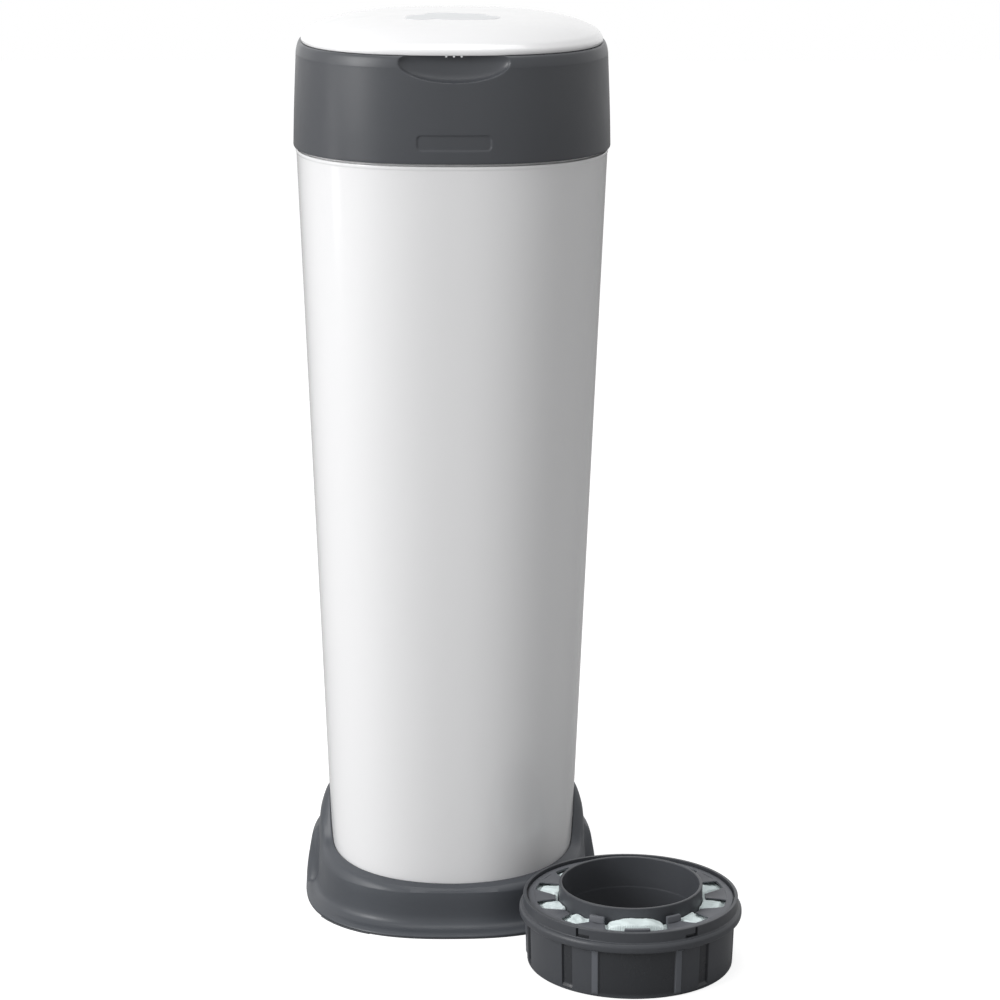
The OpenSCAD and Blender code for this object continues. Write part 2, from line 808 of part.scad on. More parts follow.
module lid_barrel() {
    along_x(-lid_barrel, lid_barrel)
        difference() {
            union() {
                translate([lid_hinge_y, lid_hinge_z])
                    circle(r = lid_knuckle_r, $fn = 48);
                polygon([[lid_half - 2, lid_z + 0.2], [lid_hinge_y, lid_z + 0.2],
                         [lid_hinge_y + 2.4, lid_hinge_z + 3], [lid_hinge_y + 1, lid_z + 2.2],
                         [lid_half - 2, lid_z + 3]]);
            }
            translate([lid_hinge_y, lid_hinge_z])
                circle(r = lid_pin_r + 0.1, $fn = 48);
        }
}

module lid_liner() {
    color("#e9eaea")
        difference() {
            translate([0, 0, liner_top])
                cylinder(r = liner_r, h = liner_t, $fn = turned_fn);
            for (a = [45:90:315])
                rotate(a)
                    translate([liner_screw_r, 0, liner_top - 1])
                        cylinder(r = screw_r + 0.2, h = liner_t + 2, $fn = 24);
        }
}

// The ring under the liner that holds the seal
module seal_carrier() {
    inner = lid_seal_r - carrier_wall;
    outer = lid_seal_r + lid_seal_w + carrier_wall;
    color("#e9eaea")
        rotate_extrude($fn = turned_fn)
            polygon([[inner, liner_top], [inner, liner_z + 0.8], [inner + 0.8, liner_z],
                     [outer - 0.8, liner_z], [outer, liner_z + 0.8], [outer, liner_top]]);
}

module lid_seal() {
    color("#2a2b2d")
        rotate_extrude($fn = turned_fn)
            polygon([[lid_seal_r, liner_z], [lid_seal_r + 0.6, deck_z + fit + 0.6],
                     [lid_seal_r + 1.4, deck_z + fit], [lid_seal_r + lid_seal_w - 1.4, deck_z + fit],
                     [lid_seal_r + lid_seal_w - 0.6, deck_z + fit + 0.6],
                     [lid_seal_r + lid_seal_w, liner_z]]);
}

module liner_screws() {
    color("#b9bcc0")
        for (a = [45:90:315])
            rotate(a)
                translate([liner_screw_r, 0, liner_top])
                    pan_screw(screw_r - 0.05, 5.6);
}

// ---- Twist ring ----

module twist_ring() {
    dog_angle = 6;
    teeth = [for (i = [0:2 * tooth_count - 1])
             let (r = i % 2 == 0 ? ring_r - tooth_depth : ring_r, a = 90 + i * 180 / tooth_count)
             [r * cos(a), r * sin(a)]];
    color("#7d8186") {
        rotate_extrude($fn = turned_fn)
            polygon([[ring_in, skirt_in_z], [ring_in, seat_z + 3], [ring_in + 3, seat_z + 7],
                     [ring_in + 11, seat_z + 8.6], [ring_in + 22, seat_z + 8],
                     [well_r - 1.5, seat_z + 5], [ring_r - tooth_depth - 0.4, seat_z + 3.4],
                     [ring_r - tooth_depth - 0.4, seat_z + fit], [well_r - 0.5, seat_z + fit],
                     [well_r - 0.5, skirt_z], [well_r - 0.5 - ring_t, skirt_z],
                     [well_r - 0.5 - ring_t, seat_z + 2.6], [ring_in + 21, seat_z + 5.2],
                     [ring_in + 11, seat_z + 5.8], [ring_in + 4.6, seat_z + 4.4],
                     [ring_in + ring_t, seat_z + 2], [ring_in + ring_t, skirt_in_z]]);
        translate([0, 0, seat_z + fit])
            linear_extrude(2.7)
                difference() {
                    polygon(teeth);
                    circle(r = ring_r - tooth_depth - 2, $fn = turned_fn);
                }
        for (a = [30:60:330])
            arc(a - 90, dog_angle)
                translate([rim_in + 0.3, cassette_z + cassette_rim_h - 5])
                    square([well_r - 1.2 - rim_in - 0.3, skirt_z - cassette_z - cassette_rim_h + 6]);
        for (a = [0, 180])
            arc(a, 64)
                polygon([[ring_in + 9, seat_z + 6], [ring_in + 10, seat_z + 8 + grip_h - 1],
                         [ring_in + 11.4, seat_z + 8 + grip_h], [ring_in + 14.6, seat_z + 8 + grip_h],
                         [ring_in + 16, seat_z + 8 + grip_h - 1], [ring_in + 17, seat_z + 6]]);
    }
}

// ---- Cassette ----

module cassette_tub_shape() {
    ridge_at = 23.5;
    channel_at = 40.5;
    difference() {
        union() {
            rotate_extrude($fn = turned_fn)
                polygon([[tube_r - 2.5, 0], [cassette_r - 1, 0], [cassette_r, 1],
                         [cassette_top_r, cassette_wall_h], [flange_r - 1, cassette_wall_h],
                         [flange_r, cassette_wall_h + 1.4], [flange_r, cassette_wall_h + 5],
                         [flange_r - 1.2, cassette_wall_h + 6.8], [rim_r, cassette_wall_h + 7.6],
                         [rim_r, cassette_rim_h - 0.6], [rim_r - 0.6, cassette_rim_h],
                         [rim_in + 0.6, cassette_rim_h], [rim_in, cassette_rim_h - 0.6],
                         [rim_in, ring_seat], [rim_in - 3, ring_seat], [rim_in - 3, ring_seat - 1.6],
                         [cassette_top_r - cassette_wall, ring_seat - 3],
                         [cassette_r - cassette_wall, cassette_wall], [tube_r, cassette_wall],
                         [tube_r, tube_h - 0.6], [tube_r - 0.6, tube_h], [tube_r - 1.9, tube_h],
                         [tube_r - 2.5, tube_h - 0.6]]);
            for (third = [0:120:240], side = [-1, 1])
                arc(third - 90 + side * ridge_at, 4.5)
                    polygon([[cassette_r - 1, 2], [cassette_r + 0.6, 3], [cassette_top_r + 0.8, cassette_wall_h],
                             [cassette_r - 1, cassette_wall_h]]);
        }
        for (third = [0:120:240], side = [-1, 1])
            arc(third - 90 + side * channel_at, 7)
                polygon([[cassette_r - 0.8, 4], [cassette_r + 4, 4], [cassette_r + 4, cassette_wall_h - 2],
                         [cassette_top_r - 0.9, cassette_wall_h - 2]]);
        for (a = [30:60:330])
            arc(a - 90, notch_angle)
                translate([rim_in - 0.5, cassette_rim_h - 6.6])
                    square([4, 8]);
    }
}

// Outline of one film finger, wide at its root and rounded at its tip
function finger_outline(at) = let (
        half = concat([for (t = [0:0.25:1]) [blend(finger_root + 2, finger_tip + 2, t),
                                            blend(finger_angle, finger_angle - 5.2, t)]],
                      [[finger_tip, finger_angle - 7.2]]),
        both = concat(half, [for (i = [len(half) - 1:-1:0]) [half[i][0], -half[i][1]]]))
    [for (p = both) [p[0] * cos(at + p[1]), p[0] * sin(at + p[1])]];

module cassette_ring_shape() {
    first = 28;
    intersection() {
        rotate_extrude($fn = turned_fn)
            polygon([[finger_tip, ring_seat - 1.4], [finger_root, ring_seat + 0.2], [rim_in - 1.2, ring_seat],
                     [rim_in - 1.2, ring_seat + finger_t], [finger_root, ring_seat + finger_t + 0.4],
                     [finger_tip, ring_seat - 1.4 + finger_t]]);
        translate([0, 0, ring_seat - 3])
            linear_extrude(8)
                union() {
                    difference() {
                        circle(r = rim_in, $fn = turned_fn);
                        circle(r = finger_root, $fn = turned_fn);
                    }
                    for (i = [0:finger_count - 1], side = [-1, 1])
                        polygon(finger_outline(-90 + side * (first + i * finger_pitch)));
                }
    }
    for (side = [-1, 1])
        arc(-90 + side * first, 9)
            polygon([[finger_tip + 0.3, ring_seat - 1], [finger_tip + 6, ring_seat],
                     [finger_tip + 5.4, ring_seat + block_h - 0.6], [finger_tip + 0.3, ring_seat + block_h]]);
    arc(-90, 15)
        translate([finger_root - 1, ring_seat + 0.4])
            square([2.4, 3]);
}

module film_pack_shape() {
    out = cassette_r - cassette_wall - fit;
    inner = tube_r + fit;
    top = ring_seat - 1.7 - fit;
    rotate_extrude($fn = turned_fn)
        polygon([[inner, cassette_wall + fit], [out, cassette_wall + fit], [out, top - 4], [out - 3, top - 1],
                 [(inner + out) / 2, top], [inner + 2, top - 1], [inner, top - 3]]);
}

module installed() {
    translate([0, 0, cassette_z])
        children();
}

module beside() {
    translate([spare_place * cos(spare_bearing), -spare_place * sin(spare_bearing), 0])
        children();
}

module cassette_tub() {
    color("#3f4246")
        installed()
            cassette_tub_shape();
}

module cassette_ring() {
    color("#5c6066")
        installed()
            cassette_ring_shape();
}

module film_pack() {
    color("#cfe6e6")
        installed()
            film_pack_shape();
}

module spare_cassette_tub() {
    color("#3f4246")
        beside()
            cassette_tub_shape();
}

module spare_cassette_ring() {
    color("#5c6066")
        beside()
            cassette_ring_shape();
}

module spare_film_pack() {
    color("#cfe6e6")
        beside()
            film_pack_shape();
}

// ---- Film cutter ----

module cutter_rail() {
    side = 1.6;
    lip = 1.4;
    color("#6a6e73")
        along_x(-rail_l / 2, rail_l / 2)
            translate([-rail_y, rail_z - rail_h])
                difference() {
                    translate([-rail_w / 2, 0])
                        square([rail_w, rail_h]);
                    translate([-rail_w / 2 + side, lip])
                        square([rail_w - 2 * side, rail_h - lip - side]);
                    translate([-rail_w / 2 + side + lip, -1])
                        square([rail_w - 2 * side - 2 * lip, lip + 2]);
                }
}

module cutter_slider() {
    side = 1.6;
    lip = 1.4;
    wide = rail_w / 2 - side - fit;
    base = rail_z - rail_h;
    color("#d8dadb")
        difference() {
            along_x(slider_x - slider_l / 2, slider_x + slider_l / 2)
                translate([-rail_y, base])
                    polygon([[-slider_neck, -knob_drop], [slider_neck, -knob_drop], [slider_neck, lip + fit],
                             [wide, lip + fit], [wide, rail_h - side - fit], [-wide, rail_h - side - fit],
                             [-wide, lip + fit], [-slider_neck, lip + fit]]);
            blade_shape();
        }
}

// The blade's foot sits in a slot of the slider and its point faces the film
module blade_shape() {
    foot = -rail_y + slider_neck;
    translate([0, 0, rail_z - rail_h - 4])
        linear_extrude(0.6)
            polygon([[slider_x - 5, foot - 2], [slider_x + 5, foot - 2], [slider_x + 5, foot + 1],
                     [slider_x, foot + 5], [slider_x - 5, foot + 1]]);
}

module cutter_blade() {
    color("#c9ccd0")
        blade_shape();
}

body_tub();
base_stand();
foot_ring();
base_screws();
head_hinge_pin();
collar();
inner_deck();
deck_screws();
retaining_fingers();
finger_clamp();
head_seal();
lid_hinge_pin();
pawl_spring();
pawl_cover();
cutter_rail();
lid_shell();
lid_liner();
seal_carrier();
lid_seal();
liner_screws();
twist_ring();
cassette_tub();
cassette_ring();
film_pack();
click_pawl();
cutter_slider();
cutter_blade();
spare_cassette_tub();
spare_cassette_ring();
spare_film_pack();
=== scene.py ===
"""Nappy bin: its finished surfaces, materials, studio and camera, laid out as an add-on."""

import json
import math

import bpy
import numpy as np
from bpy.props import FloatProperty, FloatVectorProperty, IntProperty, PointerProperty
from mathutils import Matrix, Vector


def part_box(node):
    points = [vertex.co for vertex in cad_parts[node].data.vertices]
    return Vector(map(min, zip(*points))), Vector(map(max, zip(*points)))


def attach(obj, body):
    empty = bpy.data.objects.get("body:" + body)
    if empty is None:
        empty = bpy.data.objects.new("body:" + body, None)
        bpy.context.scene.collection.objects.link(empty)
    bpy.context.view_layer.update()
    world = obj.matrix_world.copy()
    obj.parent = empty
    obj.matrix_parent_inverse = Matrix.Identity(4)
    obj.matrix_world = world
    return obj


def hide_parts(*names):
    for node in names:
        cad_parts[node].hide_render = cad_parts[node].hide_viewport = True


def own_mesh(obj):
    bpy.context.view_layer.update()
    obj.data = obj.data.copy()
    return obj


bl_info = {
    "name": "Nappy Bin",
    "version": (1, 0, 0),
    "blender": (4, 5, 0),
    "location": "View3D > Sidebar > Nappy Bin",
    "description": "Builds the finished shells, the refill cassettes and the studio of a nappy bin",
    "category": "Object",
}

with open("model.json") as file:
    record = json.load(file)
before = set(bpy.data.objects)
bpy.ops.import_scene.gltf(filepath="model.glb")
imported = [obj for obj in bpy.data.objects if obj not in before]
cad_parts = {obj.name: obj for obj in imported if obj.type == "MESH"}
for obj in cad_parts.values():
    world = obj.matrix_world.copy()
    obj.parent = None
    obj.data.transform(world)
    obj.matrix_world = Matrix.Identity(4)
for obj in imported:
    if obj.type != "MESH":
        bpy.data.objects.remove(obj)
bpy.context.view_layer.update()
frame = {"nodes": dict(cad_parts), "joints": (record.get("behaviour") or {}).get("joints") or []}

MM = 0.001
JOINTS = {j["name"]: j for j in frame["joints"]}
HEAD_AXIS = JOINTS["head_tilt"]["pos_m"]
LID_AXIS = JOINTS["lid_hinge"]["pos_m"]
COLLAR_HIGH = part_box("collar")[1]
LID_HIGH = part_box("lid_shell")[1]
TUB_LOW, TUB_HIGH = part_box("body_tub")
BASE_LOW, BASE_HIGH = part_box("base_stand")
TRAY_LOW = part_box("cassette_tub")[0]
SPARE_LOW, SPARE_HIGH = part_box("spare_cassette_tub")
DECK_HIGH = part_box("lid_seal")[0].z - 0.3 * MM
COLLAR_TOP = LID_AXIS[2] + 3 * MM
SCOOP_CENTRE = COLLAR_TOP - 4.4 * MM
LID_LOW_RIM = COLLAR_TOP + 0.2 * MM
TUBE_TOP = SPARE_HIGH.z - SPARE_LOW.z    # the inner tube's lip, above a cassette's foot
FRONT = -90.0    # degrees round the axis


def length(name, description, default):
    """A length whose default is given in millimetres."""
    return FloatProperty(name=name, description=description, default=default * MM, min=0.0,
                         precision=4, unit="LENGTH")


def shade(name, description, red, green, blue):
    """A colour, given as it shows on screen and kept as linear light."""
    return FloatVectorProperty(name=name, description=description, subtype="COLOR", size=3,
                               min=0.0, max=1.0,
                               default=[(c / 255.0) ** 2.2 for c in (red, green, blue)])


class BinSizes(bpy.types.PropertyGroup):
    """Sizes of the tub, the base, the head and the lid."""

    plan_power: FloatProperty(name="Plan power", description="Roundness of the plan, 2 for a circle",
                              default=2.5, min=2.0, max=4.0)
    wall: length("Wall", "Thickness of the shells", 2.5)
    foot_half: length("Body foot", "Half width of the tub at its foot", 99.0)
    top_half: length("Body top", "Half width of the tub under the collar", 123.5)
    neck_half: length("Neck", "Half width of the neck inside the head", 120.3)
    bead_out: length("Bead", "How far the bead stands out of the body", 0.6)
    wall_half: length("Base wall", "Half width of the base's upright wall", 112.0)
    rim_front: length("Rim height", "Height of the base's rim at the front", 38.0)
    rim_rise: length("Rim rise", "Rise of the rim from the front to the sides", 13.0)
    ear_rise: length("Ear rise", "Further rise of the ear at each side", 38.0)
    ear_angle: FloatProperty(name="Ear angle", description="Half width of an ear in degrees",
                             default=12.0, min=5.0, max=20.0)
    wing_height: length("Wing height", "Height of the foot wing at each side", 50.0)
    collar_lean: length("Collar lean", "Inward lean of the collar's side", 2.6)
    mouth_half: length("Mouth", "Half width of the mouth under the lid", 111.4)
    scoop_half: length("Scoop width", "Half width of the finger scoop", 42.4)
    scoop_depth: length("Scoop depth", "Depth of the finger scoop", 10.8)
    scoop_drop: length("Scoop drop", "Half height of the finger scoop", 15.4)
    badge_half: length("Badge width", "Half width of the badge recess", 28.5)
    badge_tall: length("Badge height", "Half height of the badge recess", 6.0)
    badge_depth: length("Badge depth", "Depth of the badge recess", 0.8)
    lid_rim: length("Lid rim", "Height of the lid's rim", 5.6)
    lid_dome: length("Lid dome", "Height of the dome above the rim", 14.8)
    lid_power: FloatProperty(name="Lid roundness", description="Flatness of the dome's middle, 2 for a bowl",
                             default=4.5, min=2.0, max=8.0)
    rib_pitch: length("Rib pitch", "Spacing of the grip ribs under the lip", 5.8)


class CassetteSizes(bpy.types.PropertyGroup):
    """Sizes of a refill cassette, measured from its own foot."""

    foot_r: length("Foot radius", "Outer radius of the tray at its foot", 81.5)
    flange_r: length("Flange radius", "Outer radius of the flange", 87.95)
    rim_r: length("Rim radius", "Outer radius of the rim", 84.8)
    tube_r: length("Tube radius", "Outer radius of the inner tube", 56.7)
    tube_wall: length("Tube wall", "Thickness of the inner tube", 2.5)
    wall: length("Wall", "Thickness of the tray", 2.0)
    wall_h: length("Wall height", "Height of the tray up to its flange", 40.0)
    rim_h: length("Rim height", "Height of the tray's rim", 56.0)
    seat_h: length("Seat height", "Height of the seat of the finger ring", 52.0)
    finger_root: length("Finger root", "Radius at which the fingers start", 75.7)
    finger_tip: length("Finger tip", "Radius at which the fingers end", 59.3)
    finger_t: length("Finger thickness", "Thickness of a finger", 1.8)
    finger_count: IntProperty(name="Fingers", description="Fingers on each side", default=5, min=3, max=6)
    finger_first: FloatProperty(name="First finger", description="Angle of the first finger from the front",
                                default=28.0)
    finger_pitch: FloatProperty(name="Finger pitch", description="Angle between fingers", default=31.0)
    finger_half: FloatProperty(name="Finger width", description="Half angle of a finger at its root",
                               default=11.0)


class BinColours(bpy.types.PropertyGroup):
    """Colours of the plastics, the film and the metal."""

    white: shade("White", "Glossy white of the tub and the lid", 244, 244, 245)
    head: shade("Head grey", "Satin grey of the collar", 73, 75, 79)
    base: shade("Base grey", "Satin grey of the base", 80, 83, 88)
    deck: shade("Deck grey", "Grey of the inner deck", 122, 126, 130)
    ring: shade("Ring grey", "Grey of the twist ring", 150, 153, 157)
    tray: shade("Charcoal", "Charcoal of the cassette's tray", 74, 76, 80)
    finger: shade("Finger grey", "Grey of the cassette's fingers", 98, 100, 105)
    film: shade("Film", "Pale film in the light", 244, 252, 252)
    # The teal painted shade laid into the film's folds and low places.
    film_fold: shade("Film folds", "Film deep in its folds", 168, 200, 202)
    natural: shade("Natural plastic", "Unpainted small mouldings", 214, 216, 216)
    liner: shade("Liner white", "Inner side of the lid", 232, 233, 233)
    rubber: shade("Rubber", "Seals of the head and the lid", 38, 39, 41)
    foot_rubber: shade("Foot rubber", "Soft ring under the base", 74, 76, 80)
    silicone: shade("Silicone", "Retaining fingers under the well", 222, 226, 226)
    steel: shade("Steel", "Pins, screws and blade", 190, 192, 195)
    motif: shade("Motif", "Printed motif on the lid", 226, 228, 230)


class StudioSettings(bpy.types.PropertyGroup):
    """The camera and the lights."""

    camera_x: FloatProperty(name="Camera x", default=-35.1 * MM, unit="LENGTH",
                            description="Place of the camera to the right of the bin's axis")
    camera_y: FloatProperty(name="Camera y", default=-2483.6 * MM, unit="LENGTH",
                            description="Place of the camera behind the bin's front")
    camera_z: FloatProperty(name="Camera z", default=978.2 * MM, unit="LENGTH",
                            description="Height of the camera")
    camera_turn: FloatProperty(name="Camera turn", default=-1.72, description="Turn to the left, degrees")
    camera_tilt: FloatProperty(name="Camera tilt", default=14.55, description="Tilt down, degrees")
    camera_roll: FloatProperty(name="Camera roll", default=0.234, description="Roll, degrees")
    lens: FloatProperty(name="Lens", default=112.8, description="Focal length in millimetres")
    key: FloatProperty(name="Key light", default=67.0, description="Power of the key light, watts")
    side: FloatProperty(name="Side light", default=6.0, description="Power of the light at the left, watts")
    top: FloatProperty(name="Top light", default=25.0, description="Power of the light overhead, watts")
    sky: FloatProperty(name="Sky", default=0.4, description="Strength of the light all round")


def sizes():
    """The sizes of the tub, the base, the head and the lid."""
    return bpy.context.scene.nappy_sizes


def cassette():
    """The sizes of a refill cassette."""
    return bpy.context.scene.nappy_cassette


def colours():
    """The colours of the plastics, the film and the metal."""
    return bpy.context.scene.nappy_colours


# ---- Surfaces ----

def smooth_step(t):
    """0 below 0, 1 above 1, and an S-curve between."""
    t = np.clip(t, 0.0, 1.0)
    return t * t * (3.0 - 2.0 * t)


def rounded(points, radius, closed=False, steps=5):
    """A polyline whose corners are replaced by arcs: each corner P becomes the parabola
    (1-t)^2 A + 2t(1-t) P + t^2 B between the points A and B a radius away along its two sides."""
    pts = np.array([p[:2] for p in points], float)
    reach = np.array([p[2] if len(p) > 2 else radius for p in points], float)
    n = len(pts)
    most = 0.48    # share of a side that one arc may take
    t = np.linspace(0.0, 1.0, steps)[:, None]
    out = []
    for i in range(n):
        if not closed and i in (0, n - 1):
            out.append(pts[i][None])
            continue
        before, after = pts[i - 1] - pts[i], pts[(i + 1) % n] - pts[i]
        long_before, long_after = np.linalg.norm(before), np.linalg.norm(after)
        cut = min(reach[i], most * long_before, most * long_after)
        if cut <= 0:
            out.append(pts[i][None])
            continue
        a = pts[i] + before / long_before * cut
        b = pts[i] + after / long_after * cut
        out.append((1 - t) ** 2 * a + 2 * t * (1 - t) * pts[i] + t ** 2 * b)
    return np.concatenate(out)


def curve_through(points, steps):
    """A Catmull-Rom curve through the points, which may be arrays of any shape, steps to a span."""
    pts = np.array(points, float)
    ends = np.concatenate([[2 * pts[0] - pts[1]], pts, [2 * pts[-1] - pts[-2]]])
    t = (np.arange(steps) / steps).reshape((-1,) + (1,) * (pts.ndim - 1))
    spans = []
    for a, b, c, d in zip(ends[:-3], ends[1:-2], ends[2:-1], ends[3:]):
        spans.append(0.5 * (2 * b + (c - a) * t + (2 * a - 5 * b + 4 * c - d) * t ** 2
                            + (3 * b - a - 3 * c + d) * t ** 3))
    return np.concatenate(spans + [pts[-1:]])


def divided(points, step):
    """The same polyline with extra points, so that no span is longer than step."""
    out = [points[:1]]
    for a, b in zip(points[:-1], points[1:]):
        n = max(1, int(math.ceil(np.linalg.norm(b - a) / step)))
        out.append(a + (b - a) * (np.arange(1, n + 1) / n)[:, None])
    return np.concatenate(out)


def plan_radius(half, angles, depth=1.0):
    """Radius of the rounded square |x/w|^p + |y/(w d)|^p = 1 at each angle."""
    p = sizes().plan_power
    return half / (np.abs(np.cos(angles)) ** p + np.abs(np.sin(angles) / depth) ** p) ** (1.0 / p)


def around(count, fine_half=0.0, fine_step=1.0):
    """Angles round the axis in radians, from the back, finer within fine_half degrees of the front."""
    if not fine_half:
        return np.radians(90.0 + np.arange(count) * 360.0 / count)
    start, end = 270.0 - fine_half, 270.0 + fine_half
    return np.radians(np.concatenate([np.linspace(90.0, start, count // 2, endpoint=False),
                                      np.arange(start, end, fine_step),
                                      np.linspace(end, 450.0, count // 2, endpoint=False)]))


def wrapped(degrees):
    """The same angles, brought to between -180 and 180 degrees."""
    return (degrees + 180.0) % 360.0 - 180.0


def to_nearest(degrees, centres):
    """Degrees from each angle to the nearest of the centres."""
    return np.abs(wrapped(degrees[:, None] - np.asarray(centres)[None, :])).min(axis=1)


def enclosed(points, faces):
    """Six times the volume inside a mesh's faces, each a fan of triangles from its first corner.
    It is below 0 where the faces of a closed mesh point inwards."""
    corners = points[faces]
    volume = 0.0
    for i in range(1, faces.shape[1] - 1):
        normals = np.cross(corners[:, i], corners[:, i + 1])
        volume += np.einsum("ij,ij->i", corners[:, 0], normals).sum()
    return volume


def grid(x, y, z, wrap_rows=False, wrap_columns=True, pole_start=False, pole_end=False):
    """Points and faces of a grid surface. Rows run along the profile and columns round it. A pole
    closes the first or last row with one point at its centre. Faces point out of the closed mesh."""
    rows, columns = x.shape
    points = np.stack([x, y, z], axis=-1).reshape(-1, 3)
    r = np.arange(rows if wrap_rows else rows - 1)
    c = np.arange(columns if wrap_columns else columns - 1)
    r0, c0 = np.meshgrid(r, c, indexing="ij")
    r1, c1 = (r0 + 1) % rows, (c0 + 1) % columns
    quads = np.stack([r0 * columns + c0, r0 * columns + c1, r1 * columns + c1, r1 * columns + c0],
                     axis=-1).reshape(-1, 4)
    fans = []
    ring = np.arange(columns)
    for wanted, row, turn in ((pole_start, 0, -1), (pole_end, rows - 1, 1)):
        if wanted:
            centre = points[row * columns:(row + 1) * columns].mean(axis=0)
            points = np.concatenate([points, centre[None]])
            edge = (row * columns + ring, row * columns + (ring + 1) % columns)[::turn]
            fans.append(np.stack([*edge, np.full(columns, len(points) - 1)], axis=-1))
    tris = np.concatenate(fans) if fans else np.zeros((0, 3), int)
    if enclosed(points, quads) + enclosed(points, tris) < 0:
        quads, tris = quads[:, ::-1], tris[:, ::-1]
    return points, quads, tris


def piece(name, parts, body, material, sharp=38.0, attribute=None):
    """One object from several grids, smooth but for edges sharper than the angle sharp."""
    points, quads, tris, base = [], [], [], 0
    for p, q, t in parts:
        points.append(p)
        quads.append(q + base)
        tris.append(t + base)
        base += len(p)
    points = np.concatenate(points)
    faces = np.concatenate(quads).tolist() + np.concatenate(tris).tolist()
    mesh = bpy.data.meshes.new(name)
    mesh.from_pydata(points, [], faces)
    mesh.polygons.foreach_set("use_smooth", np.ones(len(mesh.polygons), bool))
    mesh.set_sharp_from_angle(angle=math.radians(sharp))
    if attribute is not None:
        layer = mesh.attributes.new(attribute[0], "FLOAT", "POINT")
        layer.data.foreach_set("value", np.asarray(attribute[1], np.float32).ravel())
    mesh.update()
    obj = bpy.data.objects.new(name, mesh)
    bpy.context.scene.collection.objects.link(obj)
    mesh.materials.append(material)
    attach(obj, body)
    return obj


def about_axis(radius, angles, height, centre=(0.0, 0.0), **close):
    """A grid of points at each radius, angle and height about a vertical axis through centre."""
    return grid(radius * np.cos(angles) + centre[0], radius * np.sin(angles) + centre[1],
                np.broadcast_to(height, radius.shape), **close)


def plan_sweep(profile, angles, **close):
    """A profile of (half width, height) carried round the rounded-square plan."""
    return about_axis(profile[:, 0:1] * plan_radius(1.0, angles)[None, :], angles, profile[:, 1:2], **close)


def turned(profile, angles, centre=(0.0, 0.0), **close):
    """A profile of (radius, height) turned about a vertical axis through centre."""
    radius = np.broadcast_to(profile[:, 0:1], (len(profile), len(angles)))
    return about_axis(radius, angles, profile[:, 1:2], centre, **close)


def bar_x(outline, x0, x1):
    """A rounded outline of (y, z) drawn from x0 to x1, each end drawn in a little to round it."""
    round_off = 0.4 * MM
    away = outline - outline.mean(axis=0)
    away /= np.maximum(np.linalg.norm(away, axis=1, keepdims=True), 1e-6)
    x = np.array([x0, x0 + round_off, x1 - round_off, x1])[:, None]
    inset = np.array([round_off, 0.0, 0.0, round_off])[:, None, None]
    rings = outline[None] - away[None] * inset
    return grid(np.broadcast_to(x, rings.shape[:2]), rings[..., 0], rings[..., 1],
                pole_start=True, pole_end=True)


def tube_x(outer, bore, x0, x1, axis):
    """A bored barrel along X: a rounded rectangle of (x, radius) turned about the pin's axis."""
    loop = rounded([(x0, bore), (x1, bore), (x1, outer), (x0, outer)], 0.5 * MM, closed=True)
    t = np.linspace(0.0, 2 * math.pi, 64, endpoint=False)
    x, radius = loop[:, 0:1], loop[:, 1:2]
    return grid(np.broadcast_to(x, (len(loop), len(t))), axis[1] + radius * np.cos(t),
                axis[2] + radius * np.sin(t), wrap_rows=True)


def hinge_arm(web, outer, bore, x0, x1, axis):
    """A web of (y, z) and the bored barrel at its end, both drawn along the pin from x0 to x1."""
    return [bar_x(web, x0, x1), tube_x(outer, bore, x0, x1, axis)]


# ---- Materials ----

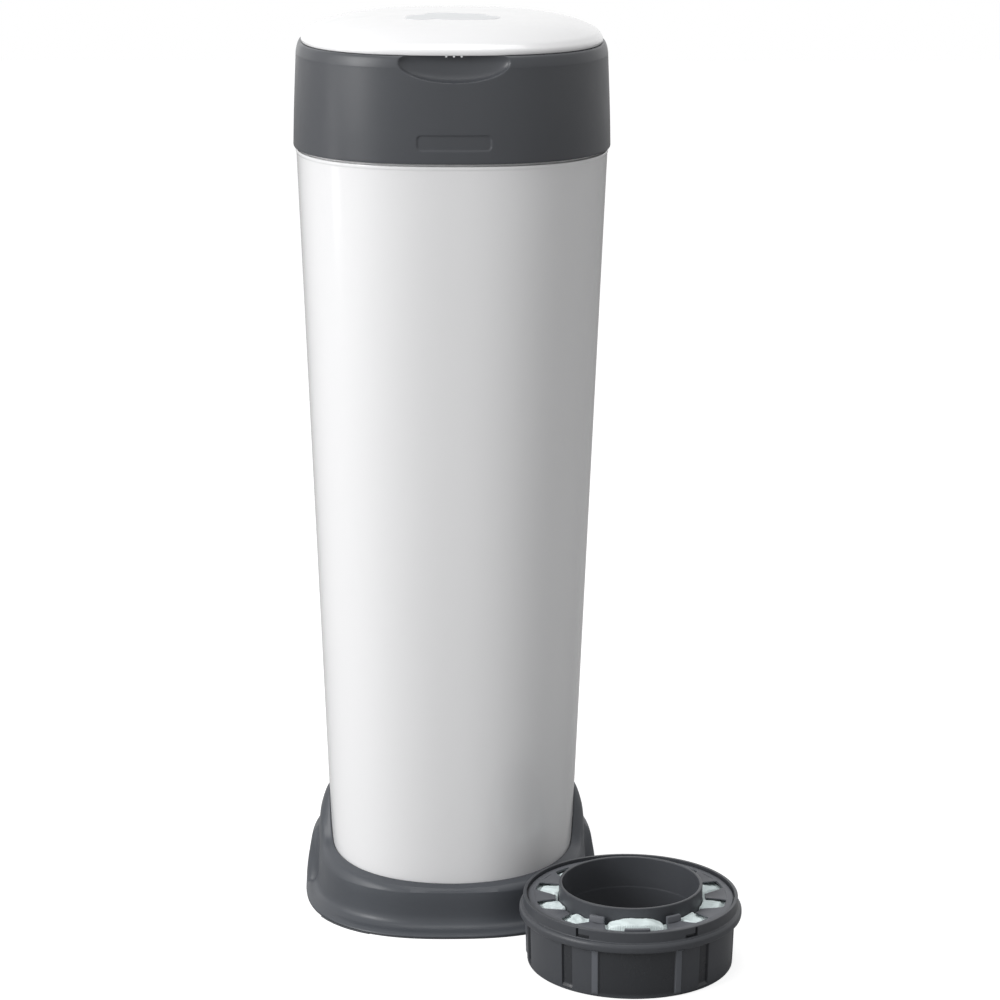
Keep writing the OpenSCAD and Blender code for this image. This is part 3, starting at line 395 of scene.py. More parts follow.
class Nodes:
    """A new material's node tree, with short ways to add and join nodes."""

    def __init__(self, name):
        self.material = bpy.data.materials.new(name)
        self.material.use_nodes = True
        self.tree = self.material.node_tree
        self.shader = self.tree.nodes["Principled BSDF"]
        self.coords = self.add("ShaderNodeTexCoord").outputs["Object"]

    def add(self, kind, **values):
        """A new node with its settings."""
        node = self.tree.nodes.new(kind)
        for key, value in values.items():
            setattr(node, key, value)
        return node

    def join(self, source, target):
        """Links an output to an input."""
        self.tree.links.new(source, target)

    def noise(self, scale, detail=3.0, stretch=(1, 1, 1)):
        """Noise on object coordinates, scale in blobs per metre, stretched along an axis."""
        mapping = self.add("ShaderNodeMapping")
        mapping.inputs["Scale"].default_value = stretch
        self.join(self.coords, mapping.inputs["Vector"])
        node = self.add("ShaderNodeTexNoise")
        node.inputs["Scale"].default_value = scale
        node.inputs["Detail"].default_value = detail
        self.join(mapping.outputs["Vector"], node.inputs["Vector"])
        return node.outputs["Fac"]

    def cells(self, scale):
        """Distance to the nearest of scattered points, scale in points per metre."""
        node = self.add("ShaderNodeTexVoronoi")
        node.inputs["Scale"].default_value = scale
        self.join(self.coords, node.inputs["Vector"])
        return node.outputs["Distance"]

    def to_range(self, source, low, high, start=0.0, end=1.0):
        """The source from start to end, mapped to low to high and held there."""
        node = self.add("ShaderNodeMapRange")
        for key, value in (("From Min", start), ("From Max", end), ("To Min", low), ("To Max", high)):
            node.inputs[key].default_value = value
        self.join(source, node.inputs["Value"])
        return node.outputs["Result"]

    def math(self, operation, first, second):
        """An operation on two numbers or outputs."""
        node = self.add("ShaderNodeMath", operation=operation)
        for socket, value in zip(node.inputs, (first, second)):
            if isinstance(value, (int, float)):
                socket.default_value = value
            else:
                self.join(value, socket)
        return node.outputs["Value"]

    def mix(self, factor, first, second):
        """The first colour where the factor is 0, the second where it is 1."""
        node = self.add("ShaderNodeMix", data_type="RGBA")
        for key, value in (("Factor", factor), ("A", first), ("B", second)):
            socket = next(s for s in node.inputs if s.name == key and s.enabled)
            if isinstance(value, bpy.types.NodeSocket):
                self.join(value, socket)
            elif key == "Factor":
                socket.default_value = value
            else:
                socket.default_value = (*value, 1.0)
        return next(s for s in node.outputs if s.enabled)

    def bump(self, height, distance, strength=1.0, below=None):
        """The normal of a relief of that height in metres, over the normal below."""
        node = self.add("ShaderNodeBump")
        node.inputs["Distance"].default_value = distance
        node.inputs["Strength"].default_value = strength
        self.join(height, node.inputs["Height"])
        if below is not None:
            self.join(below, node.inputs["Normal"])
        return node.outputs["Normal"]


def tinted(colour, factor):
    """The colour made lighter or darker, and held below white."""
    return [min(1.0, c * factor) for c in colour]


def moulded(name, colour, roughness, grain=900.0, grain_depth=0.02 * MM, mottle=0.05,
            flow=(1, 1, 1), ripple=0.0, coat=0.0, specular=0.5, polish=None):
    """Moulded plastic: a colour that drifts a little, a fine spark-eroded grain, cloudy changes of
    gloss, faint scuffs drawn out along flow, and a slow ripple in the reflection. Where the attribute
    named by the last argument is above 0, the plastic is smoother and its colour is darker, as painted
    shade, and where it is below 0, its colour is lighter, as a painted highlight."""
    n = Nodes(name)
    # Noise lies mostly between 0.3 and 0.7, and two noises added between 0.7 and 1.3.
    drift = n.noise(9.0, 4.0, flow)
    specks = n.noise(1400.0, 1.0)
    body = n.mix(n.to_range(drift, 0.0, 1.0, 0.3, 0.7), tinted(colour, 1 - mottle),
                 tinted(colour, 1 + mottle))
    fleck = n.to_range(specks, 0.0, 0.25, 0.62, 0.8)
    body = n.mix(fleck, body, tinted(colour, 1 - 3 * mottle))
    if polish:
        # Painted shade and painted highlight: the colour is darkened where the attribute is above 0 and
        # lightened where it is below 0.
        dark, light, smoother = 0.58, 1.9, 0.72
        smooth = n.add("ShaderNodeAttribute", attribute_name=polish).outputs["Fac"]
        body = n.mix(n.to_range(smooth, 0.0, 1.0), body, tinted(colour, dark))
        body = n.mix(n.to_range(smooth, 1.0, 0.0, -1.0, 0.0), body, tinted(colour, light))
    n.join(body, n.shader.inputs["Base Color"])
    scuffs = n.noise(60.0, 6.0, tuple(s * 0.6 + 0.1 for s in flow))
    cloud_depth, change = 0.25, 0.18
    cloud = n.to_range(n.math("ADD", n.noise(22.0, 2.0), scuffs), -cloud_depth, cloud_depth, 0.7, 1.3)
    gloss = n.to_range(cloud, roughness * (1 - change), roughness * (1 + change), -cloud_depth, cloud_depth)
    if polish:
        gloss = n.math("MULTIPLY", gloss, n.to_range(smooth, 1.0, smoother))
    n.join(gloss, n.shader.inputs["Roughness"])
    normal = n.bump(n.noise(grain, 2.0), grain_depth)
    if ripple:
        normal = n.bump(n.noise(14.0, 1.0, flow), ripple, below=normal)
    n.join(normal, n.shader.inputs["Normal"])
    n.shader.inputs["Coat Weight"].default_value = coat
    n.shader.inputs["Coat Roughness"].default_value = 0.08
    n.shader.inputs["Specular IOR Level"].default_value = specular
    return n.material


def soft_rubber(name, colour):
    """Rubber or silicone: matt, with a dusty bloom and a fine pebbled skin."""
    n = Nodes(name)
    bloom = n.to_range(n.noise(45.0, 5.0), 0.0, 1.0, 0.35, 0.7)
    n.join(n.mix(bloom, tinted(colour, 0.9), tinted(colour, 1.15)), n.shader.inputs["Base Color"])
    n.join(n.to_range(bloom, 0.55, 0.78), n.shader.inputs["Roughness"])
    n.join(n.bump(n.cells(1100.0), 0.03 * MM), n.shader.inputs["Normal"])
    n.shader.inputs["Sheen Weight"].default_value = 0.08
    return n.material


def brushed(name, colour):
    """Steel drawn along X: long fine scratches in gloss and height."""
    n = Nodes(name)
    scratches = n.noise(420.0, 4.0, (0.06, 1.0, 1.0))
    n.join(n.mix(scratches, tinted(colour, 0.8), tinted(colour, 1.1)), n.shader.inputs["Base Color"])
    n.join(n.to_range(scratches, 0.22, 0.42), n.shader.inputs["Roughness"])
    n.join(n.bump(scratches, 0.01 * MM), n.shader.inputs["Normal"])
    n.shader.inputs["Metallic"].default_value = 1.0
    return n.material


def crinkled(name, light):
    """Crinkled film: its own pale colour on its crests and a teal painted shade in its folds, with small
    sharp creases.
    """
    n = Nodes(name)
    # Painted shade: the colour turns teal where the crest attribute is low, that is where the film lies low
    # and in its fine creases.
    fold_shade = colours().film_fold
    crest = n.add("ShaderNodeAttribute", attribute_name="crest").outputs["Fac"]
    patch = n.to_range(n.noise(120.0, 4.0), -0.2, 0.2)
    height = n.math("ADD", crest, patch)
    n.join(n.mix(n.to_range(height, 0.0, 1.0, 0.1, 0.75), fold_shade, light), n.shader.inputs["Base Color"])
    folds = n.math("ABSOLUTE", n.math("SUBTRACT", n.noise(170.0, 3.0), 0.5), 0.0)
    n.join(n.bump(folds, 1.6 * MM, 0.75), n.shader.inputs["Normal"])
    n.join(n.to_range(patch, 0.24, 0.42, -0.2, 0.2), n.shader.inputs["Roughness"])
    n.shader.inputs["Subsurface Weight"].default_value = 0.25
    n.shader.inputs["Subsurface Radius"].default_value = (2 * MM, 2.4 * MM, 2.4 * MM)
    n.shader.inputs["Subsurface Scale"].default_value = 1.0
    n.shader.inputs["Coat Weight"].default_value = 0.4
    n.shader.inputs["Coat Roughness"].default_value = 0.15
    return n.material


FINISHES = {
    "gloss_white": (moulded, "white", dict(roughness=0.17, grain=500.0, grain_depth=0.006 * MM, mottle=0.012,
                                           flow=(1, 1, 0.25), ripple=0.05 * MM, coat=0.3)),
    "lid_white": (moulded, "white", dict(roughness=0.2, grain=500.0, grain_depth=0.008 * MM, mottle=0.012,
                                         ripple=0.05 * MM, coat=0.3)),
    "head_satin": (moulded, "head", dict(roughness=0.35, grain=1500.0, grain_depth=0.03 * MM,
                                         flow=(1, 1, 0.3), specular=0.42)),
    "base_satin": (moulded, "base", dict(roughness=0.37, grain=1500.0, grain_depth=0.03 * MM,
                                         flow=(1, 1, 0.5), specular=0.34)),
    "deck_plastic": (moulded, "deck", dict(roughness=0.45, grain=1200.0, grain_depth=0.03 * MM)),
    "ring_plastic": (moulded, "ring", dict(roughness=0.4, grain=1200.0, grain_depth=0.03 * MM)),
    "tray_plastic": (moulded, "tray", dict(roughness=0.36, grain=1700.0, grain_depth=0.025 * MM, mottle=0.06,
                                           flow=(1, 1, 0.3), specular=0.3, polish="polish")),
    "finger_plastic": (moulded, "finger", dict(roughness=0.42, grain=1300.0, grain_depth=0.03 * MM,
                                               mottle=0.06, specular=0.3)),
    "natural_plastic": (moulded, "natural", dict(roughness=0.4, mottle=0.03)),
    "liner_plastic": (moulded, "liner", dict(roughness=0.42, grain=1100.0, grain_depth=0.025 * MM,
                                             mottle=0.02)),
    "motif_print": (moulded, "motif", dict(roughness=0.4, grain_depth=0.01 * MM, mottle=0.02)),
    "rubber": (soft_rubber, "rubber", {}),
    "foot_rubber": (soft_rubber, "foot_rubber", {}),
    "silicone": (soft_rubber, "silicone", {}),
    "steel": (brushed, "steel", {}),
    "film": (crinkled, "film", {}),
}


def finish(name):
    """The material called name, made once, in its colour from the panel."""
    if name in bpy.data.materials:
        return bpy.data.materials[name]
    maker, colour, values = FINISHES[name]
    return maker(name, getattr(colours(), colour), **values)


def soften():
    """A geometry node group that welds a CAD mesh and shades it smooth but for its sharp edges."""
    name = "soften_edges"
    if name in bpy.data.node_groups:
        return bpy.data.node_groups[name]
    weld_distance, sharp_angle = 0.002 * MM, math.radians(28.0)
    tree = bpy.data.node_groups.new(name, "GeometryNodeTree")
    tree.interface.new_socket("Geometry", in_out="INPUT", socket_type="NodeSocketGeometry")
    tree.interface.new_socket("Geometry", in_out="OUTPUT", socket_type="NodeSocketGeometry")
    start = tree.nodes.new("NodeGroupInput")
    weld = tree.nodes.new("GeometryNodeMergeByDistance")
    weld.inputs["Distance"].default_value = weld_distance
    faces = tree.nodes.new("GeometryNodeSetShadeSmooth")
    angle = tree.nodes.new("GeometryNodeInputMeshEdgeAngle")
    flat = tree.nodes.new("FunctionNodeCompare")
    flat.operation = "LESS_THAN"
    flat.inputs["B"].default_value = sharp_angle
    edges = tree.nodes.new("GeometryNodeSetShadeSmooth")
    edges.domain = "EDGE"
    end = tree.nodes.new("NodeGroupOutput")
    join = tree.links.new
    join(start.outputs[0], weld.inputs["Geometry"])
    join(weld.outputs["Geometry"], faces.inputs["Geometry"])
    join(faces.outputs["Geometry"], edges.inputs["Geometry"])
    join(angle.outputs["Unsigned Angle"], flat.inputs["A"])
    join(flat.outputs["Result"], edges.inputs["Shade Smooth"])
    join(edges.outputs["Geometry"], end.inputs[0])
    return tree


def dress(node, material):
    """Gives a CAD node its material and its smooth shading."""
    obj = frame["nodes"][node]
    obj.data.materials.clear()
    obj.data.materials.append(finish(material))
    smooth = obj.modifiers.new("soften_edges", "NODES")
    smooth.node_group = soften()


# ---- Tub ----

def tub_half(z):
    """Half width of the tub's outside, a straight taper from its foot to the collar."""
    s = sizes()
    share = (z - TUB_LOW.z) / (HEAD_AXIS[2] - TUB_LOW.z)
    return s.foot_half + (s.top_half - s.foot_half) * share


class NAPPY_OT_tub(bpy.types.Operator):
    """Adds the white tub with its bead, its neck and its hinge brackets"""

    bl_idname = "nappy.add_tub"
    bl_label = "Add tub"

    def execute(self, context):
        s = sizes()
        floor = TUB_LOW.z + 6 * MM
        ledge = HEAD_AXIS[2] - 2 * MM
        bead = ledge - 2.2 * MM
        neck_in = s.neck_half - s.wall

        # A profile carried round the rounded-square plan: from the floor's middle down to the foot,
        # up the outside, over the neck and down the inside.
        profile = rounded([
            (0.0, floor), (tub_half(floor) - s.wall, floor, 1 * MM),
            (tub_half(TUB_LOW.z) - s.wall, TUB_LOW.z, 0.5 * MM), (tub_half(TUB_LOW.z), TUB_LOW.z),
            (tub_half(bead - MM), bead - MM, 1 * MM), (tub_half(bead) + s.bead_out, bead),
            (tub_half(ledge) + s.bead_out, ledge, 0.9 * MM), (s.neck_half, ledge, 0.4 * MM),
            (s.neck_half, TUB_HIGH.z), (neck_in, TUB_HIGH.z), (neck_in, ledge - 6 * MM, 4 * MM),
            (tub_half(ledge - 14 * MM) - s.wall, ledge - 14 * MM, 4 * MM),
            (tub_half(floor + s.wall) - s.wall, floor + s.wall, 6 * MM), (0.0, floor + s.wall)],
            0.8 * MM, steps=7)
        profile = profile[profile[:, 0] > 1e-6]    # the poles close the middle
        shell = plan_sweep(divided(profile, 30 * MM), around(288), pole_start=True, pole_end=True)
        tub = piece("tub_shell", [shell], "bin_body", finish("gloss_white"))
        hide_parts("body_tub")
        self.add_brackets()
        return {"FINISHED"}

    def add_brackets(self):
        """Two brackets at the back, each a tapered web with a round knuckle for the pin."""
        y, z = HEAD_AXIS[1:]
        knuckle, wide = 5 * MM, 14 * MM
        low, top = z - 34 * MM, z - 2 * MM
        web = rounded([(tub_half(low) - 1.5 * MM, low), (tub_half(low) + 1.5 * MM, low),
                       (y + knuckle, z - 4 * MM), (y + knuckle, z - 1 * MM),
                       (y - knuckle + 0.2 * MM, z - 0.5 * MM), (y - knuckle + 0.2 * MM, top),
                       (tub_half(top) - 1.5 * MM, top)], 0.5 * MM, closed=True)
        parts = []
        for start in (30 * MM, -44 * MM):
            parts += hinge_arm(web, knuckle, 2.5 * MM, start, start + wide, HEAD_AXIS)
        piece("tub_hinge_brackets", parts, "bin_body", finish("gloss_white"))


# ---- Base ----

def from_side(angles):
    """Degrees from the bin's side axis, positive towards the back."""
    deg = wrapped(np.degrees(angles))
    return np.where(np.abs(deg) <= 90.0, deg, (180.0 - np.abs(deg)) * np.sign(deg))


class NAPPY_OT_base(bpy.types.Operator):
    """Adds the grey base with its rim, side ears and foot wings"""

    bl_idname = "nappy.add_base"
    bl_label = "Add base"

    def execute(self, context):
        s = sizes()
        angles = around(720)
        side = from_side(angles)

        # Round the foot, wing runs from 0 to 1 and back, ear is a bump exp(-|side / ear_angle|^3),
        # and the rim rises from the front as (1 - |side| / 90)^1.5.
        wing_start, wing_run, wing_end, wing_fade = -3.0, 6.4, 36, 4    # degrees from the side
        front = np.clip((side - wing_start) / wing_run, 0, 1)
        wing = front * (1.4 - 0.4 * front) * smooth_step((wing_end - side) / wing_fade)
        ear = np.exp(-np.abs(side / s.ear_angle) ** 3)
        rim = s.rim_front + s.rim_rise * (1 - np.abs(side) / 90) ** 1.5 + s.ear_rise * ear
        foot = BASE_HIGH.x
        stretch = BASE_HIGH.y / BASE_HIGH.x

        def blended(plain, winged):
            """Half width, height and depth factor at each angle, from plain to winged."""
            width = plain[0] + (winged[0] - plain[0]) * wing
            height = plain[1] + (winged[1] - plain[1]) * wing
            share = np.clip((width - s.wall_half) / (foot - s.wall_half), 0, 1)
            return np.stack([width, height, 1 + (stretch - 1) * share])

        def even(width, height):
            """The same width and height at each angle, winged or not."""
            return blended((width, height), (width, height))

        def at_rim(plain, eared):
            """Out from the tub and down from the rim, in millimetres, from the rim to the ears."""
            out, down = ((a + (b - a) * ear) * MM for a, b in zip(plain, eared))
            height = rim - down
            return np.stack([tub_half(height) + out, height, np.ones_like(height)])

        # Rings from the middle of the underside out to the foot's edge, up the outside, over the rim
        # and down to the cup that the tub stands in.
        low, wall, top = BASE_LOW.z, s.wall_half, s.wing_height
        tub_foot, cup_high = tub_half(TUB_LOW.z), 12 * MM
        inside = [
            even(tub_foot + 1.9 * MM, 7.1 * MM), at_rim((2.9, 6), (2.9, 15)), at_rim((4.3, 6), (4.2, 15)),
            blended((wall - 3.6 * MM, s.rim_front - 7 * MM), (wall - 3.6 * MM, top - 6 * MM)),
            blended((wall - 2.6 * MM, 12 * MM), (wall + 5.5 * MM, top / 2)),
            blended((wall - 0.5 * MM, 6.5 * MM), (foot - 2.8 * MM, 12 * MM)), even(foot - 2.6 * MM, low)]
        lip = [even(foot - 0.5 * MM, low), blended((foot, low + 0.5 * MM), (foot, low + 0.6 * MM))]
        outside = curve_through([
            blended((foot - 0.3 * MM, low + 1.4 * MM), (foot, 4 * MM)),
            blended((foot - 2.6 * MM, 4.0 * MM), (foot - 0.2 * MM, 9 * MM)),
            blended((wall + 4.6 * MM, 5.4 * MM), (foot - 1.4 * MM, 20 * MM)),
            blended((wall + 1.8 * MM, 8 * MM), (foot - 3.2 * MM, 31 * MM)),
            blended((wall + 0.5 * MM, 12 * MM), (foot - 5.0 * MM, 40.5 * MM)),
            blended((wall, 18 * MM), (wall + 3.2 * MM, top - 4.6 * MM)),
            blended((wall - 0.2 * MM, s.rim_front - 10 * MM), (wall + 0.4 * MM, top - 0.4 * MM)),
            blended((wall - 0.7 * MM, s.rim_front - 4.2 * MM), (wall - 0.3 * MM, top + 3 * MM))], 7)
        ledge = curve_through([at_rim(*pair) for pair in (
            ((8.4, 3.4), (10.3, 33)), ((6.6, 2.1), (8.6, 22)), ((3.6, 0.9), (6.5, 14)),
            ((1.7, 0.1), (3.6, 6)), ((0.9, 0), (1.3, 1.4)), ((0.4, 0.3), (0.4, 0.3)))], 5)
        cup = [at_rim((0.3, 1), (0.3, 1)), even(tub_half(cup_high) + 0.3 * MM, cup_high),
               even(tub_foot + 0.3 * MM, 9.7 * MM)]
        rings = np.stack([*inside, *lip, *outside, *ledge, *cup])
        half, height, depth = rings[:, 0], rings[:, 1], rings[:, 2]
        shell = about_axis(plan_radius(half, angles, depth), angles, height, pole_start=True, pole_end=True)
        base = piece("base_shell", [shell], "bin_body", finish("base_satin"), sharp=50.0)
        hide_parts("base_stand")
        return {"FINISHED"}


# ---- Collar ----

class NAPPY_OT_collar(bpy.types.Operator):
    """Adds the grey collar with its finger scoop, badge recess and hinge parts"""

    bl_idname = "nappy.add_collar"
    bl_label = "Add collar"

    def execute(self, context):
        s = sizes()
        # A profile carried round the rounded-square plan: the side leans in by a power of its height,
        # then the shoulder, the mouth and the inner wall. The badge and the scoop push the front back.
        half, low, top = COLLAR_HIGH.x, HEAD_AXIS[2], COLLAR_TOP
        shoulder = half - s.collar_lean
        ledge = shoulder - 3.6 * MM
        heights = np.linspace(low + 1.4 * MM, top - 12 * MM, 4)
        lean = s.collar_lean * ((heights - low) / (top - low - 10 * MM)) ** 1.3
        side = np.stack([half - lean, heights], axis=1)
        shoulder_curve = curve_through(np.concatenate([side, [
            (shoulder - 0.1 * MM, top - 8 * MM), (shoulder - 0.8 * MM, top - 4.2 * MM),
            (shoulder - 1.7 * MM, top - 1.5 * MM), (shoulder - 2.7 * MM, top - 0.35 * MM),
            (ledge - 0.2 * MM, top - 0.02 * MM), (ledge - 0.8 * MM, top)]]), 12)
        foot = rounded([(half - 2 * MM, low), (half - 0.05 * MM, low, 0.9 * MM), tuple(side[0])], 0.9 * MM)
        outer = divided(np.concatenate([foot[:-1], shoulder_curve]), 0.75 * MM)
        # Twice the rows at the scoop's lower rim, which runs nearly level.
        rows = np.flatnonzero(np.abs(outer[:-1, 1] - (SCOOP_CENTRE - s.scoop_drop)) < 2.0 * MM)
        outer = np.insert(outer, rows + 1, 0.5 * (outer[rows] + outer[rows + 1]), axis=0)
        mouth_in = s.mouth_half + s.wall
        mouth = divided(rounded([(ledge - 1.6 * MM, top), (s.mouth_half, top, 0.9 * MM),
                                 (s.mouth_half, DECK_HIGH), (mouth_in, DECK_HIGH)], 0.3 * MM), 1 * MM)
        inner = np.array([(mouth_in, top - 3 * MM), (shoulder - s.wall - 1.2 * MM, top - 3 * MM),
                          (shoulder - s.wall, top - 8 * MM), (half - s.wall - 0.6 * MM, low + 30 * MM),
                          (half - s.wall, low)])
        inner = np.concatenate([divided(inner[:4], 2.4 * MM), inner[4:]])
        profile = np.concatenate([outer, mouth, inner])
        angles = around(200, fine_half=33.0, fine_step=0.32)
        radius = profile[:, 0:1] * plan_radius(1.0, angles)[None, :]
        x, y = radius * np.cos(angles), radius * np.sin(angles)
        z = np.broadcast_to(profile[:, 1:2], x.shape).copy()
        outside = np.arange(len(profile))[:, None] < len(outer)
        y = np.where(outside & (y < 0), self.badge(x, y, z, low), y)
        y = np.where(outside & (y < 0), self.scoop(x, y, z, 0.0), y)
        y = np.where(~outside & (y < 0), self.scoop(x, y, z, 0.6 * MM), y)
        shell = grid(x, y, z, wrap_rows=True)
        collar = piece("collar_shell", [shell], "head", finish("head_satin"), sharp=60.0)
        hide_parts("collar")
        self.add_fittings(half, top)
        return {"FINISHED"}

    def scoop(self, x, y, z, grow):
        """The wall pushed back by b sqrt(1 - (x/a)^2 - (z/c)^2), measured from the collar's own plan,
        with a smooth maximum 0.5 (y + e + sqrt((y - e)^2 + k^2)) that rounds the scoop's edge. Past
        the scoop, e falls away in front of the wall. The oval is larger all round by grow."""
        s = sizes()
        a, b, c = s.scoop_half + grow, s.scoop_depth + grow, s.scoop_drop + grow
        shoulder = COLLAR_HIGH.x - s.collar_lean
        across = np.clip(np.abs(x) / shoulder, 0, 0.98)    # the plan turns back beyond
        wall = -shoulder * (1 - across ** s.plan_power) ** (1 / s.plan_power) - 0.3 * MM
        spread = (x / a) ** 2 + ((z - SCOOP_CENTRE) / c) ** 2
        bowl = b * np.sqrt(np.clip(1 - spread, 0, None)) - 3 * b * np.clip(spread - 1, 0, None)
        e, k = wall + bowl, 0.6 * MM
        pushed = 0.5 * (y + e + np.sqrt((y - e) ** 2 + k * k))
        return np.where(spread < 1.6, pushed, y)

    def badge(self, x, y, z, low):
        """The wall set back inside a rounded rectangle, over a narrow sloping edge. The distance
        outside a rectangle with round corners is hypot(dx, dz) + min(max(dx, dz), 0) - corner."""
        s = sizes()
        corner, slope, centre_z = 3.4 * MM, 0.7 * MM, low + 16 * MM
        dx = np.abs(x) - (s.badge_half - corner)
        dz = np.abs(z - centre_z) - (s.badge_tall - corner)
        outside = np.hypot(np.clip(dx, 0, None), np.clip(dz, 0, None)) + np.clip(np.maximum(dx, dz), None, 0)
        return y + s.badge_depth * smooth_step((corner - outside) / slope)

    def add_fittings(self, half, top):
        """The flange that rests on the tub, the head hinge's barrel and the lid hinge's knuckles."""
        s = sizes()
        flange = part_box("head_seal")[1].z
        flange_out, flange_in = half - s.wall + 0.5 * MM, s.neck_half - s.wall
        rest = rounded([(flange_in, flange), (flange_out, flange), (flange_out, flange + 3 * MM),
                        (flange_in, flange + 3 * MM)], 0.6 * MM, closed=True)
        y, z = HEAD_AXIS[1:]
        barrel = 29.5 * MM
        root = half - s.wall + 0.4 * MM
        web = rounded([(root, z + 1.2 * MM), (y - 2 * MM, z + 1.2 * MM), (y + 2 * MM, z + 4 * MM),
                       (half - 1.4 * MM, z + 20 * MM), (root, z + 20 * MM)], 0.6 * MM, closed=True)
        parts = [plan_sweep(rest, around(288), wrap_rows=True),
                 *hinge_arm(web, 5 * MM, 2.6 * MM, -barrel, barrel, HEAD_AXIS)]
        y, z = LID_AXIS[1:]
        root = half - s.collar_lean - 4.1 * MM
        arm = rounded([(root, top - 1 * MM), (root, top - 20 * MM), (root + 3.5 * MM, top - 20 * MM),
                       (y + 4 * MM, z - 1 * MM), (y + 3.4 * MM, z + 1 * MM), (y - 2 * MM, z + 0.5 * MM)],
                      0.5 * MM, closed=True)
        for start in (26.1 * MM, -36.1 * MM):
            parts += hinge_arm(arm, 4 * MM, 1.85 * MM, start, start + 10 * MM, LID_AXIS)
        piece("collar_fittings", parts, "head", finish("head_satin"))


# ---- Lid ----

def dome(share):
    """Height of the lid's outside at a share t of its half width: rim + dome (1 - t^power)."""
    s = sizes()
    return LID_LOW_RIM + s.lid_rim + s.lid_dome * (1 - share ** s.lid_power)


class NAPPY_OT_lid(bpy.types.Operator):
    """Adds the white domed lid with its grip ribs, hinge barrel and printed motif"""

    bl_idname = "nappy.add_lid"
    bl_label = "Add lid"

    def execute(self, context):
        s = sizes()
        # A profile carried round the rounded-square plan: the dome from its middle, the rolled rim,
        # and the dome's underside back to the middle.
        half, low = LID_HIGH.x, LID_LOW_RIM
        share = np.linspace(0.02, 0.965, 44)
        over = np.stack([share * half, dome(share)], axis=1)
        rim = curve_through([over[-1], (half - 1.9 * MM, low + s.lid_rim + 0.15 * MM),
                             (half - 0.55 * MM, low + s.lid_rim - 1.3 * MM), (half, low + 2.9 * MM),
                             (half, low + 1.3 * MM), (half - 0.35 * MM, low + 0.35 * MM),
                             (half - 1.1 * MM, low)], 5)
        under = share[::-2]
        inside = np.stack([under * half, dome(under) - s.wall], axis=1)
        turn_in = rounded([(half - 1.1 * MM, low), (half - s.wall + 0.4 * MM, low, 0.5 * MM),
                           (half - s.wall, low + 2.6 * MM), tuple(inside[0])], 0.6 * MM)
        profile = np.concatenate([over[:-1], rim[:-1], turn_in[:-1], inside])
        shell = plan_sweep(profile, around(360), pole_start=True, pole_end=True)
        lid = piece("lid_dome", [shell], "lid", finish("lid_white"), sharp=50.0)
        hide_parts("lid_shell")
        self.add_fittings(half, low)
        self.add_motif()
        return {"FINISHED"}

    def add_fittings(self, half, low):
        """Three grip ribs under the front lip, the hinge barrel with its web, and four bosses."""
        s = sizes()
        rib_half = 0.8 * MM
        rib_y, rib_z = (-half + 1.0 * MM, -half + 5.0 * MM), (low - 1.3 * MM, low + 1 * MM)
        rib = rounded([(rib_y[0], rib_z[0]), (rib_y[1], rib_z[0]), (rib_y[1], rib_z[1]),
                       (rib_y[0], rib_z[1])], 0.6 * MM, closed=True)
        parts = [bar_x(rib, x - rib_half, x + rib_half) for x in (-s.rib_pitch, 0.0, s.rib_pitch)]
        y, z = LID_AXIS[1:]
        barrel = 25.6 * MM
        web = rounded([(half - 2 * MM, low + 0.2 * MM), (y, low + 0.2 * MM), (y + 2.4 * MM, z + 3 * MM),
                       (y + 1 * MM, low + 2.2 * MM), (half - 2 * MM, low + 3 * MM)], 0.4 * MM, closed=True)
        parts += hinge_arm(web, 4 * MM, 1.9 * MM, -barrel, barrel, LID_AXIS)
        liner_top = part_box("lid_liner")[1].z
        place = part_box("liner_screws")[1].x - 3.2 * MM
        boss_top = dome(place * math.sqrt(2) / half) - s.wall / 2
        boss, middle = 4 * MM, 0.001 * MM
        post = rounded([(middle, liner_top), (boss, liner_top), (boss, boss_top), (middle, boss_top)],
                       0.5 * MM)
        for sx, sy in ((1, 1), (1, -1), (-1, 1), (-1, -1)):
            parts.append(turned(post, around(32), (sx * place, sy * place), pole_start=True, pole_end=True))
        piece("lid_fittings", parts, "lid", finish("lid_white"))

    def add_motif(self):
        """A printed cloud on the dome: its edge is the outer union of seven circles with a flat foot,
        and rings of that edge, shrunk towards its centre, are laid just above the dome."""
        # Each circle's x, y and radius, and how far below the centre the foot is, in millimetres.
        circles = ((-21, 4, 15), (-6, 18, 17), (13, 13, 15), (25, 0, 12), (0, 0, 17), (-26, -5, 11),
                   (16, -4, 13))
        foot = 15.0
        forward, lift, sink = 34 * MM, 0.12 * MM, 0.3 * MM
        t = np.linspace(0, 2 * math.pi, 240, endpoint=False)
        edge = np.zeros_like(t)
        for x, y, r in circles:
            along = x * np.cos(t) + y * np.sin(t)
            hit = r * r - (x * x + y * y) + along ** 2
            edge = np.maximum(edge, np.where(hit > 0, along + np.sqrt(np.clip(hit, 0, None)), 0))
        flat = foot / np.maximum(-np.sin(t), 1e-3)
        edge = np.where(np.sin(t) < 0, np.minimum(edge, flat), edge) * MM
        shrink = np.array([1.0, 0.97, 0.8, 0.6, 0.4, 0.2, 0.05])[:, None]
        x, y = shrink * edge * np.cos(t), shrink * edge * np.sin(t) - forward
        height = dome(np.hypot(x, y) / plan_radius(LID_HIGH.x, np.arctan2(y, x)))
        x, y = (np.concatenate([a[::-1], a]) for a in (x, y))
        z = np.concatenate([height[::-1] - sink, height + lift])
        piece("lid_motif", [grid(x, y, z, pole_start=True, pole_end=True)], "lid", finish("motif_print"))


# ---- Refill cassettes ----

def near_angle(angles, centres, half, soft):
    """1 within half degrees of any of the centres, falling to 0 over soft degrees."""
    return smooth_step((half + soft - to_nearest(np.degrees(angles), centres)) / soft)


def finger_angles():
    """Angle of each film finger, in degrees round the axis."""
    c = cassette()
    steps = c.finger_first + np.arange(c.finger_count) * c.finger_pitch
    return np.concatenate([FRONT + steps, FRONT - steps])


